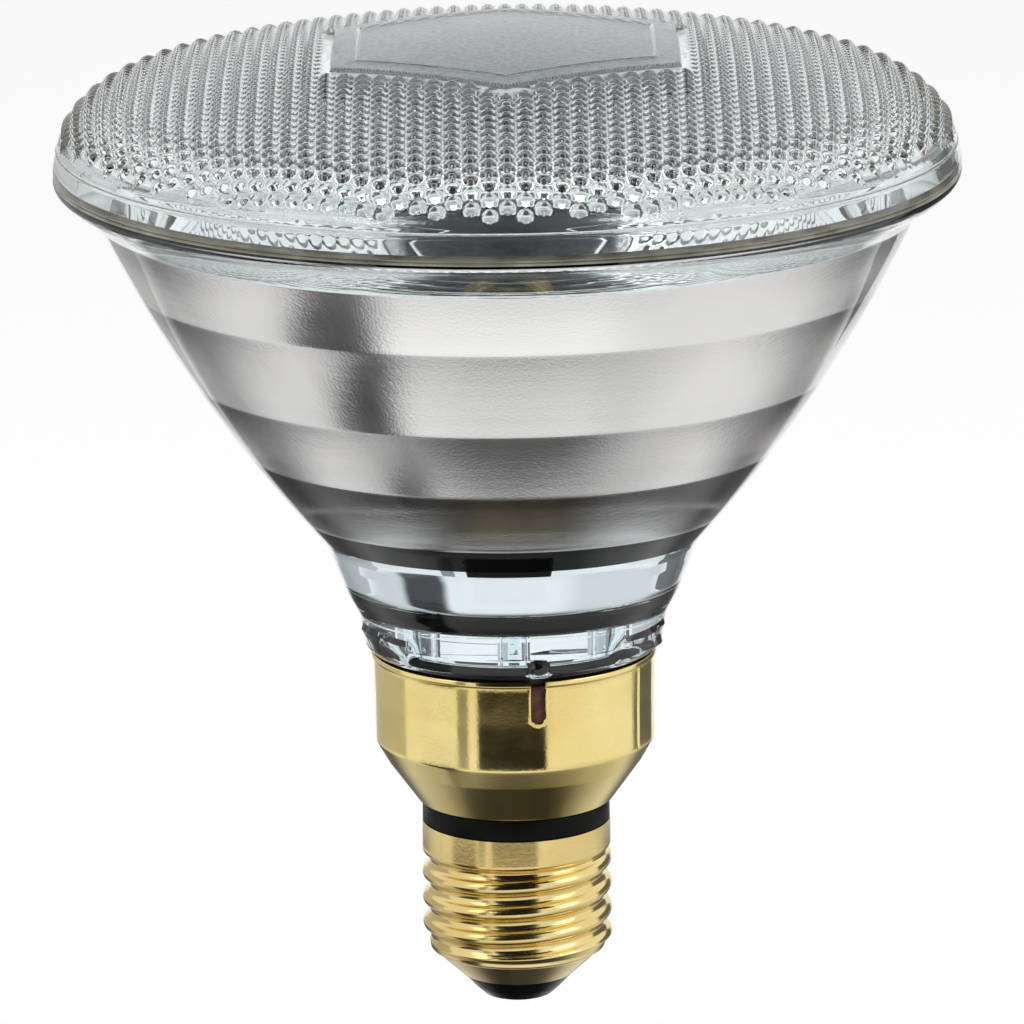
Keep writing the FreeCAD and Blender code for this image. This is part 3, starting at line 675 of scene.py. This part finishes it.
def slot_tool():
    """A prism with a half-round foot, through the wall at the slot."""
    bend = np.linspace(math.pi, 2 * math.pi, 13)
    half = SLOT_WIDTH / 2
    across = np.concatenate([half * np.cos(bend), [half, -half]])
    up = np.concatenate([SLOT_FOOT + half + half * np.sin(bend), [skirt_top + 1] * 2])
    out = np.array([math.cos(SLOT_TURN), math.sin(SLOT_TURN)])
    side = np.array([-out[1], out[0]])
    rings = [
        np.stack([out[0] * far + side[0] * across, out[1] * far + side[1] * across, up], axis=-1)
        for far in SLOT_REACH
    ]
    count = len(across)
    prism = filled(
        "slot_tool", np.vstack(rings), grid_faces(2, count, True, False),
        np.arange(count)[None, :], (np.arange(count) + count)[None, ::-1],
    )
    return closed(prism)


cut_away(skirt_brass, [slot_tool()])

# %% [markdown]
# The cement between glass and skirt is seen only through the slot and in the gap above the lip.

# %% Cement
cement_low, cement_high = place_of("basing_cement")


def crumbs(radius, height, angle):
    """A fine uneven surface from three waves."""
    waves = np.sin(31 * angle + 2 * height) + np.sin(53 * angle - 5 * height)
    return 0.05 * (waves + np.sin(17 * angle + 9 * radius)) / 3


cement_path = refined(rounded([
    (HEEL_RADIUS + 0.02, cement_low[2]), (SKIRT - SKIRT_WALL - 0.15, cement_low[2]),
    (SKIRT - SKIRT_WALL - 0.12, cement_high[2] - 0.1, 0.25), (HEEL_RADIUS + 0.02, cement_high[2]),
]), 0.6)
cement_fill = turned("cement_fill", cement_path, 256, crumbs)

# %% [markdown]
# A ring of black insulator parts the skirt from the screw shell. The shell is rolled from brass
# with a round thread: its section is a row of equal arcs, crest and groove in turn, carried up
# a helix. The radius is therefore a formula of angle and height, and the thread runs out
# smoothly into the plain collar above and the cone below.

# %% Ring and screw shell
ring_top = place_of("insulator_ring")[1][2]
insulator = turned("ring_black", rounded([
    (5.0, 24.0), (12.6, 24.0), (12.62, 25.85, 0.05), (12.95, 25.85, 0.25), (12.95, 28.75, 0.3),
    (11.1, 28.78), (11.1, 29.22), (12.4, 29.22, 0.1), (12.4, ring_top, 0.3), (5.0, ring_top),
]), 160)

shell_low, shell_high = place_of("screw_shell")
THREAD = 13.1
PITCH = 3.629
THREAD_ARC = 1.025
CREST_HEIGHT = 9.1
COLLAR = 13.0
SHELL_EDGE = (11.8, 7.4)
CONE_END = (7.9, shell_low[2])
SHELL_WALL = 0.35
EDGE_MIDDLE, EDGE_HALF, EDGE_BULGE = 8.0, 0.9, 0.35
EDGE_START, EDGE_BLEND = 7.15, 0.35
THREAD_START, THREAD_END, RUN_OUT = 7.9, 20.9, 1.3


def thread_radius(height, angle):
    """Radius of the round thread.

    Crest arcs stand about one radius and groove arcs about another, each a quarter pitch to
    either side, and both have the same arc radius.
    """
    along = (height - CREST_HEIGHT - PITCH * angle / (2 * math.pi) + PITCH / 2) % PITCH - PITCH / 2
    crest_centre = THREAD - THREAD_ARC
    groove_centre = crest_centre + 2 * math.sqrt(THREAD_ARC**2 - (PITCH / 4) ** 2)
    from_groove = PITCH / 2 - np.abs(along)
    crest = crest_centre + np.sqrt(np.maximum(THREAD_ARC**2 - along**2, 0))
    groove = groove_centre - np.sqrt(np.maximum(THREAD_ARC**2 - from_groove**2, 0))
    return np.where(np.abs(along) < PITCH / 4, crest, groove)


def shell_radius(height, angle):
    """Cone, rounded edge, thread and collar of the shell, one above the other."""
    slope = (SHELL_EDGE[0] - CONE_END[0]) / (SHELL_EDGE[1] - CONE_END[1])
    cone = CONE_END[0] + (height - CONE_END[1]) * slope
    from_middle = (height - EDGE_MIDDLE) / EDGE_HALF
    edge = SHELL_EDGE[0] + EDGE_BULGE * np.sqrt(np.maximum(1 - from_middle**2, 0))
    run_in = smooth_step((height - THREAD_START) / RUN_OUT)
    run_out = smooth_step((height - THREAD_END) / RUN_OUT)
    body = edge * (1 - run_in) + thread_radius(height, angle) * run_in
    body = body * (1 - run_out) + COLLAR * run_out
    share = smooth_step((height - EDGE_START) / EDGE_BLEND)
    return cone * (1 - share) + body * share


shell_angles = even_angles(224)
levels = np.linspace(shell_low[2], shell_high[2], 176)[:, None]
outside = shell_radius(levels, shell_angles)
inner_levels = np.linspace(shell_high[2], shell_low[2] + 0.2, 120)[:, None]
wall = SHELL_WALL * (1 + 0.5 * (inner_levels < SHELL_EDGE[1]))
inside = shell_radius(inner_levels, shell_angles) - wall
shell_thread = ringed("shell_thread", np.vstack([
    round_grid(outside, levels, shell_angles), round_grid(inside, inner_levels, shell_angles)
]), crease=50)

# %% [markdown]
# The end of the cap is black glass moulded into the shell, with the contact plate and a dome
# of solder in its middle.

# %% End contact
base_top = place_of("base_insulator")[1][2]
base_black = turned("base_black", rounded([
    (0.4, 0.8), (4.25, 0.8, 0.05), (4.25, 0.55, 0.1), (4.7, 0.55, 0.3), (6.0, 1.75, 2.5),
    (7.88, 3.8, 0.1), (7.88, 4.3), (11.3, 7.6), (11.3, base_top), (0.4, base_top),
]), 160)
contact_disc = turned("contact_disc", rounded([
    (1.0, 0.3), (1.6, 0.25, 0.4), (3.9, 0.27, 0.3), (4.2, 0.5, 0.15), (4.2, 0.8), (1.0, 0.8),
]), 96)


def solder_dents(radius, height, angle):
    """The uneven edge of the solder, a dent of up to 0.12 mm."""
    return -0.12 * (radius > 1.1) * (1 + np.sin(3 * angle + 0.6) * np.sin(2 * angle)) / 2


solder_dot = turned("solder_dot", rounded([
    (0, 0), (1.2, 0.0, 1.0), (2.35, 0.2, 0.15), (2.4, 0.27), (1.0, 0.27), (1.0, 0.8), (0, 0.8)
]), 96, solder_dents, loop=False)

# %% [markdown]
# Inside, two posts carry the tungsten coil at the focus of the mirror, and a hook holds its
# middle. The coil is a thin wire wound on a helix, so it is a circle carried along a curve.

# %% Coil and hook
def tube(name, path, radius, sides=8):
    """A round wire along a path of points in mm.

    At each point it is a circle square to the way, measured from one fixed direction, and the
    end circles are drawn together to close it.
    """
    way = unit(np.gradient(path, axis=0))
    fixed = np.array([0.0, 0.3, 1.0])
    across = unit(np.cross(way, fixed))
    up = np.cross(across, way)
    turn = even_angles(sides)[..., None]
    rings = path[:, None] + radius * (np.cos(turn) * across[:, None] + np.sin(turn) * up[:, None])
    ends = [np.repeat(path[at : at + 1, None], sides, 1) for at in (0, len(path) - 1)]
    rings = np.concatenate([ends[0], rings, ends[1]])
    return ringed(name, rings, loop=False, crease=60)


coil_low = place_of("filament")[0]
COIL = 1.0
COIL_WIRE = 0.18
COIL_TURNS = 14
COIL_STEPS = 24
COIL_HALF = 6.0
share = np.linspace(0, 1, COIL_TURNS * COIL_STEPS + 1)
turn = 2 * math.pi * COIL_TURNS * share
winding = np.stack([
    -COIL_HALF + 2 * COIL_HALF * share, COIL * np.sin(turn), FOCUS - COIL * np.cos(turn)
], axis=-1)
leg = np.linspace(0, 1, 6)[:, None]
leg_start = np.array([coil_low[0], 0, FOCUS])
leg_end = np.array([-COIL_HALF - 0.5, 0, FOCUS - 0.5])
left_leg = leg_start * (1 - leg) + leg_end * leg
right_leg = left_leg[::-1] * [-1, 1, 1]
filament_coil = tube("filament_coil", np.vstack([left_leg, winding, right_leg]), COIL_WIRE)
hook_foot_low = place_of("filament_hook")[0][2]
EYE = COIL + 2 * COIL_WIRE + 0.15
bend = np.linspace(-math.pi / 2, 1.35 * math.pi, 40)
hook_ring = np.stack([0 * bend, EYE * np.cos(bend), FOCUS + EYE * np.sin(bend)], axis=-1)
hook_rise = hook_foot_low + (FOCUS - EYE - 0.2 - hook_foot_low) * leg
hook_foot = np.hstack([0 * leg, 0 * leg, hook_rise])
hook_wire = tube("hook_wire", np.vstack([hook_foot, hook_ring]), COIL_WIRE)

# %% [markdown]
# Glass takes its look from what stands round it: it has almost no colour, and only its
# thickness tints it. Metals here are the Principled shader with full metallic, a colour that is
# the metal's own, and a roughness broken up by noise. All patterns read Object coordinates.

# %% Finishes
def finish_named(name, colour, **sockets):
    """A Principled material with constants set on the shader's own sockets."""
    material = bpy.data.materials.new(name)
    material.use_nodes = True
    inputs = material.node_tree.nodes["Principled BSDF"].inputs
    inputs["Base Color"].default_value = (*colour, 1)
    for socket, value in sockets.items():
        inputs[socket.replace("_", " ")].default_value = value
    return material, material.node_tree


def noise_of(tree, scale, detail):
    """The value of a noise texture on Object coordinates, which count in metres."""
    where = tree.nodes.new("ShaderNodeTexCoord")
    noise = tree.nodes.new("ShaderNodeTexNoise")
    noise.inputs["Scale"].default_value = scale
    noise.inputs["Detail"].default_value = detail
    tree.links.new(where.outputs["Object"], noise.inputs["Vector"])
    return noise.outputs["Fac"]


def feed(tree, output, name):
    """Links an output to that socket of the tree's shader."""
    tree.links.new(output, tree.nodes["Principled BSDF"].inputs[name])


NOISE_LOW, NOISE_HIGH = 0.35, 0.65


def vary(tree, scale, detail, low, high):
    """Maps a noise onto the roughness of the tree's shader, from low to high."""
    reach = tree.nodes.new("ShaderNodeMapRange")
    names = ("From Min", "From Max", "To Min", "To Max")
    for name, value in zip(names, (NOISE_LOW, NOISE_HIGH, low, high)):
        reach.inputs[name].default_value = value
    tree.links.new(noise_of(tree, scale, detail), reach.inputs["Value"])
    feed(tree, reach.outputs["Result"], "Roughness")


def tone(tree, scale, detail, first, second, dark=NOISE_LOW, light=NOISE_HIGH):
    """Mixes two colours by a noise for the base colour of the tree's shader."""
    ramp = tree.nodes.new("ShaderNodeValToRGB")
    for stop, place, colour in zip(ramp.color_ramp.elements, (dark, light), (first, second)):
        stop.position, stop.color = place, (*colour, 1)
    tree.links.new(noise_of(tree, scale, detail), ramp.inputs["Fac"])
    feed(tree, ramp.outputs["Color"], "Base Color")


def raise_by(tree, scale, detail, depth, strength=1.0):
    """Bump of the tree's shader from a noise, with the depth in mm."""
    bump = tree.nodes.new("ShaderNodeBump")
    bump.inputs["Distance"].default_value = depth * MM
    bump.inputs["Strength"].default_value = strength
    tree.links.new(noise_of(tree, scale, detail), bump.inputs["Height"])
    feed(tree, bump.outputs["Normal"], "Normal")


def glass_named(name, colour):
    """Clear glass, a little wavy."""
    material, tree = finish_named(name, colour, Transmission_Weight=1.0, Roughness=0.01, IOR=1.47)
    raise_by(tree, 140, 2, 0.01)
    return material


clear_glass = glass_named("clear_glass", (0.93, 0.972, 0.975))
neck_glass = glass_named("neck_glass", (0.84, 0.93, 0.965))

stippled_glass, tree = finish_named(
    "stippled_glass", (0.72, 0.80, 0.83), Transmission_Weight=0.7, Roughness=0.3, IOR=1.47
)
tone(tree, 1400, 2, (0.64, 0.72, 0.76), (0.93, 0.98, 1.0), 0.4, 0.6)
raise_by(tree, 1400, 2, 0.12)

fused_glass, tree = finish_named("fused_glass", (0.42, 0.4, 0.33), Roughness=0.4)
tone(tree, 160, 4, (0.25, 0.235, 0.18), (0.55, 0.53, 0.45))
raise_by(tree, 300, 3, 0.03)


def satin_named(name, colour):
    """The back of the film, seen through glass: bright metal with a fine grain."""
    material, tree = finish_named(name, colour, Metallic=1.0, Roughness=0.15)
    vary(tree, 60, 3, 0.11, 0.17)
    raise_by(tree, 2600, 3, 0.02, 0.6)
    return material


satin = satin_named("mirror_satin", (0.99, 0.94, 0.93))
# A darker copy of the satin for the lowest band: painted shade.
shaded_band_satin = satin_named("mirror_painted_shade", (0.75, 0.71, 0.70))
# A near-black polished film for the ring below the lowest band: painted shade.
shade_ring, tree = finish_named("mirror_shade_ring", (0.02, 0.02, 0.02), Metallic=1.0, Roughness=0.06)
vary(tree, 90, 3, 0.04, 0.09)

# Near-black heel glass: its cement, and painted shade for the inside of the cap.
heel_cement_and_shade, tree = finish_named("heel_cement_and_painted_shade", (0.02, 0.017, 0.012), Roughness=0.5)
tone(tree, 200, 4, (0.008, 0.007, 0.006), (0.035, 0.03, 0.02))
raise_by(tree, 500, 3, 0.03)

polished, tree = finish_named("mirror_polished", (0.9, 0.9, 0.91), Metallic=1.0, Roughness=0.02)
vary(tree, 90, 3, 0.01, 0.035)


def brass_named(name, low, high, rough_low, rough_high):
    """Bright brass between two tones, with a fine grain."""
    material, tree = finish_named(name, high, Metallic=1.0, Roughness=rough_low)
    tone(tree, 55, 5, low, high)
    vary(tree, 130, 6, rough_low, rough_high)
    raise_by(tree, 2200, 3, 0.012, 0.5)
    return material


skirt_finish = brass_named("skirt_brass", (0.74, 0.57, 0.20), (0.87, 0.72, 0.32), 0.09, 0.16)
thread_finish = brass_named("thread_brass", (0.72, 0.54, 0.21), (0.90, 0.74, 0.35), 0.12, 0.2)

black_finish, tree = finish_named(
    "black_glass", (0.004, 0.004, 0.005), Roughness=0.16, Specular_IOR_Level=0.16
)
vary(tree, 300, 4, 0.12, 0.24)
raise_by(tree, 500, 4, 0.02)

ring_finish, tree = finish_named(
    "black_insulator", (0.005, 0.005, 0.004), Roughness=0.35, Specular_IOR_Level=0.08
)
vary(tree, 400, 4, 0.28, 0.45)
raise_by(tree, 900, 3, 0.02)

cement_finish, tree = finish_named("cement", (0.12, 0.035, 0.025), Roughness=0.8)
tone(tree, 700, 6, (0.07, 0.018, 0.014), (0.2, 0.07, 0.045))
raise_by(tree, 900, 5, 0.08)

solder_finish, tree = finish_named("solder", (0.55, 0.54, 0.52), Metallic=1.0, Roughness=0.3)
tone(tree, 350, 5, (0.42, 0.41, 0.4), (0.66, 0.65, 0.63))
raise_by(tree, 260, 3, 0.05)


def plain_metal(name, dark, light, roughness):
    """A dull metal between two tones."""
    material, tree = finish_named(name, light, Metallic=1.0, Roughness=roughness)
    tone(tree, 500, 4, dark, light)
    vary(tree, 1000, 4, roughness * 0.8, roughness * 1.3)
    return material


ferrule_finish = plain_metal("ferrule_steel", (0.45, 0.44, 0.42), (0.62, 0.6, 0.57), 0.35)
post_finish = plain_metal("post_nickel", (0.5, 0.49, 0.47), (0.66, 0.64, 0.61), 0.28)
braze_finish = plain_metal("braze_metal", (0.6, 0.55, 0.45), (0.75, 0.7, 0.6), 0.4)
tungsten = plain_metal("tungsten", (0.22, 0.22, 0.23), (0.35, 0.35, 0.36), 0.38)
lead_finish = plain_metal("lead_copper", (0.55, 0.3, 0.2), (0.75, 0.45, 0.32), 0.3)
contact_finish = plain_metal("contact_brass", (0.62, 0.5, 0.26), (0.78, 0.66, 0.38), 0.3)

# %% [markdown]
# Each new piece rides the one body of the lamp and stands for a solid of the frame, which it
# replaces. A piece with several finishes lists them in the order of its faces' numbers. The
# wires and small parts inside need no finer form, so the frame's own meshes stay for them.

# %% Pieces on the frame
def dress(piece, material, slot_name, *nodes):
    """Gives a piece its finish, or one for each face index, and the solids it stands for."""
    for finish in material if isinstance(material, tuple) else (material,):
        piece.data.materials.append(finish)
    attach(piece, "root")
    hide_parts(*nodes)


bowl_finishes = (clear_glass, neck_glass, fused_glass, heel_cement_and_shade)
film_finishes = (satin, polished, shaded_band_satin, shade_ring)
dress(lens_glass, (clear_glass, stippled_glass, fused_glass), "clear_glass", "lens")
dress(bowl_glass, bowl_finishes, "clear_glass", "reflector_bowl")
dress(mirror_film, film_finishes, "mirror_film", "mirror_coating")
dress(skirt_brass, skirt_finish, "brass", "skirt")
dress(cement_fill, cement_finish, "cement", "basing_cement")
dress(insulator, ring_finish, "black_insulator", "insulator_ring")
dress(shell_thread, thread_finish, "brass", "screw_shell")
dress(base_black, black_finish, "black_glass", "base_insulator")
dress(contact_disc, contact_finish, "brass", "contact_plate")
dress(solder_dot, solder_finish, "solder", "contact_solder")
dress(filament_coil, tungsten, "tungsten", "filament")
dress(hook_wire, tungsten, "tungsten", "filament_hook")

KEPT = {
    "exhaust_tip": clear_glass, "bridge_bead": clear_glass,
    "ferrule_left": ferrule_finish, "ferrule_right": ferrule_finish,
    "lead_post_left": post_finish, "lead_post_right": post_finish,
    "braze_left": braze_finish, "braze_right": braze_finish,
    "centre_lead": lead_finish, "side_lead": lead_finish, "side_weld": solder_finish,
}
for node, material in KEPT.items():
    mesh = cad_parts[node].data
    mesh.materials.clear()
    mesh.materials.append(material)

# %% [markdown]
# The camera stands a little over a metre away, in front of the slot and about fourteen degrees
# above the middle of the lamp, with a long lens. It leans by less than a degree, as the picture
# of the lamp does.

# %% Camera
CAMERA_DISTANCE = 1087.7
CAMERA_ELEVATION = math.radians(14.415)
CAMERA_LEAN = math.radians(0.81)
AIM_HEIGHT = 69.216
FOCAL_MM = 278.9
SENSOR_MM = 36
NEAREST, FARTHEST = 0.05, 20
aim = Vector((0, 0, AIM_HEIGHT)) * MM
back = Vector((0, -math.cos(CAMERA_ELEVATION), math.sin(CAMERA_ELEVATION)))
camera = placed("camera", bpy.data.cameras.new("camera"))
camera.data.lens = FOCAL_MM
camera.data.sensor_width = SENSOR_MM
camera.data.clip_start, camera.data.clip_end = NEAREST, FARTHEST
camera.location = aim + back * CAMERA_DISTANCE * MM
camera.rotation_mode = "QUATERNION"
camera.rotation_quaternion = (-back).to_track_quat("-Z", "Y") @ Quaternion((0, 0, 1), -CAMERA_LEAN)
bpy.context.scene.camera = camera

# %% [markdown]
# The studio is white all round: the world and the floor show as white to the camera, and to
# what metal reflects and glass lets through, while they light the lamp at a plain level.

# %% Studio
FLOOR_HEIGHT = -80.0
FLOOR_HALF = 4000
FLOOR_GLOW = 0.5
SKY_LIGHT = 0.45


def seen_directly(tree):
    """1 for rays from the camera, and for those that metal reflects or glass lets through."""
    path = tree.nodes.new("ShaderNodeLightPath")
    total = path.outputs["Is Camera Ray"]
    for name in ("Is Glossy Ray", "Is Transmission Ray"):
        larger = tree.nodes.new("ShaderNodeMath")
        larger.operation = "MAXIMUM"
        tree.links.new(total, larger.inputs[0])
        tree.links.new(path.outputs[name], larger.inputs[1])
        total = larger.outputs[0]
    return total


def stage_grid(name, grid, material):
    """A sheet of the stage from a grid of points in mm, with one material."""
    sheet = filled(name, grid.reshape(-1, 3), grid_faces(*grid.shape[:2], False, False))
    sheet.data.materials.append(material)
    return sheet


world = bpy.data.worlds.new("studio")
bpy.context.scene.world = world
world.use_nodes = True
tree = world.node_tree
sky = tree.nodes["Background"]
sky.inputs["Color"].default_value = (1, 1, 1, 1)
strength = tree.nodes.new("ShaderNodeMapRange")
strength.inputs["To Min"].default_value = SKY_LIGHT
strength.inputs["To Max"].default_value = 1.0
tree.links.new(seen_directly(tree), strength.inputs["Value"])
tree.links.new(strength.outputs["Result"], sky.inputs["Strength"])

floor_paint, tree = finish_named(
    "floor_paint", (0.8, 0.8, 0.8), Roughness=0.9, Emission_Color=(1, 1, 1, 1)
)
glow = tree.nodes.new("ShaderNodeMath")
glow.operation = "MULTIPLY"
glow.inputs[1].default_value = FLOOR_GLOW
tree.links.new(seen_directly(tree), glow.inputs[0])
feed(tree, glow.outputs[0], "Emission Strength")
corners = np.array([[(-1, -1, 0), (-1, 1, 0)], [(1, -1, 0), (1, 1, 0)]])
stage_grid("floor", FLOOR_HALF * corners + [0, 0, FLOOR_HEIGHT], floor_paint)

# %% [markdown]
# Clear glass and polished metal need something dark to show their form against. Boards do this
# on a real set: they stand out of the picture, and only their reflections are seen. Here they
# are hidden from the camera and cast no shadow. Each point of a board has a shade, which is the
# light that it gives. The floor board is dark below the lamp and pale at its edge, with a dark
# streak towards the front on one side and a shaded part behind.

# %% Floor board
BOARD_REACH = 380.0
BOARD_EDGE = 60
SHADE_RADII = [0, 35, 48, 62, 80, 105, 135]
SHADES = [0.04, 0.05, 0.12, 0.36, 0.62, 0.74, 1.0]

board_paint = bpy.data.materials.new("board_paint")
board_paint.use_nodes = True
tree = board_paint.node_tree
tree.nodes.clear()
shade_read = tree.nodes.new("ShaderNodeAttribute")
shade_read.attribute_name = "shade"
board_light = tree.nodes.new("ShaderNodeEmission")
board_end = tree.nodes.new("ShaderNodeOutputMaterial")
tree.links.new(shade_read.outputs["Color"], board_light.inputs["Color"])
tree.links.new(board_light.outputs["Emission"], board_end.inputs["Surface"])


def board(name, grid, shade):
    """A board from a grid of points in mm, whose own light at each point is its shade, 0 to 1.

    Only reflections and the light in the glass see it; it takes no part in the picture.
    """
    card = stage_grid(name, grid, board_paint)
    layer = card.data.color_attributes.new("shade", "FLOAT_COLOR", "POINT")
    grey = np.repeat(np.broadcast_to(shade, grid.shape[:2]).ravel()[:, None], 4, axis=1)
    layer.data.foreach_set("color", grey.astype(np.float32).ravel())
    card.visible_camera = card.visible_shadow = card.visible_diffuse = False


def around(angle, middle, half, blend):
    """1 within half a width of a direction, 0 beyond the blend, in degrees from the front."""
    away = np.abs((angle - middle + 180) % 360 - 180)
    return smooth_step((half + blend - away) / blend)


def from_front(distance, direction, height):
    """Points at a distance from the axis, in a direction in degrees from the front."""
    turn = np.radians(direction - 90)
    x, y, z = np.broadcast_arrays(distance * np.cos(turn), distance * np.sin(turn), height)
    return np.stack([x, y, z], axis=-1)


far, direction = np.meshgrid(
    np.linspace(0, BOARD_REACH, 95), np.linspace(0, 360, 181), indexing="ij"
)
streak = around(direction, -70, 9, 8) * smooth_step((far - 50) / 40)
wider = around(direction, -67, 13, 8) * smooth_step((far - 112) / 25)
behind = around(direction, 180, 35, 35) * smooth_step((far - 90) / 120)
floor_shade = np.interp(far, SHADE_RADII, SHADES)
floor_shade *= 1 - 0.94 * np.maximum(streak, wider)
floor_shade *= 1 - 0.25 * around(direction, -120, 36, 8)
floor_shade *= 1 - 0.20 * around(direction, 85, 30, 25)
floor_shade *= 1 - 0.82 * behind
floor_shade = 1 - smooth_step((BOARD_REACH - far) / BOARD_EDGE) * (1 - floor_shade)
board("board_floor", from_front(far, direction, FLOOR_HEIGHT + 3), floor_shade)

# %% [markdown]
# Two upright boards in front give the brass and the rim their dark parts, one behind darkens
# the gaps between the beads, and low ones at the sides and the back tone the edges of the
# brass. Each spans some directions about the lamp. Three soft lamps light it from the sides
# and the top.

# %% Upright boards and lamps
def upright(name, first, last, distance, low, high, shade):
    """A curved board about the lamp, from one direction to another in degrees from the front."""
    direction, height = np.meshgrid(np.linspace(first, last, 13), [low, high], indexing="ij")
    board(name, from_front(distance, direction, height), shade)


BOARD_FOOT = FLOOR_HEIGHT + 1
LAMP_AIM = 70
upright("board_front", -30, 25, 340, BOARD_FOOT, 330, 0.012)
upright("board_front_upper", -56, 52, 345, 300, 950, 0.008)
upright("board_behind", 162, 198, 360, 255, 900, 0.03)
upright("board_left", -47, -38, 340, BOARD_FOOT, 260, 0.35)
upright("board_back_left", -160, -100, 385, BOARD_FOOT, 160, 0.56)
upright("board_back_right", 112, 152, 385, BOARD_FOOT, 160, 0.14)


def softbox(name, place, size, watts):
    """An area lamp at a place in mm, aimed at the middle of the bulb."""
    lamp = bpy.data.lights.new(name, "AREA")
    lamp.shape, lamp.size, lamp.size_y = "RECTANGLE", size[0] * MM, size[1] * MM
    lamp.energy = watts
    thing = placed(name, lamp)
    thing.location = Vector(place) * MM
    thing.rotation_mode = "QUATERNION"
    way = Vector((0, 0, LAMP_AIM)) * MM - thing.location
    thing.rotation_quaternion = way.to_track_quat("-Z", "Y")


softbox("key", (-900, -700, 900), (700, 900), 2.4)
softbox("fill", (1000, -500, 500), (600, 900), 1.8)
softbox("top", (0, 200, 1300), (900, 700), 2.0)

# %% [markdown]
# Light may turn eight times on its way, which is as much as the beads need.

# %% View and light paths
bpy.context.scene.view_settings.view_transform = "Standard"
TURNS_OF_LIGHT = 8
light_paths = bpy.context.scene.cycles
light_paths.max_bounces = light_paths.transmission_bounces = TURNS_OF_LIGHT
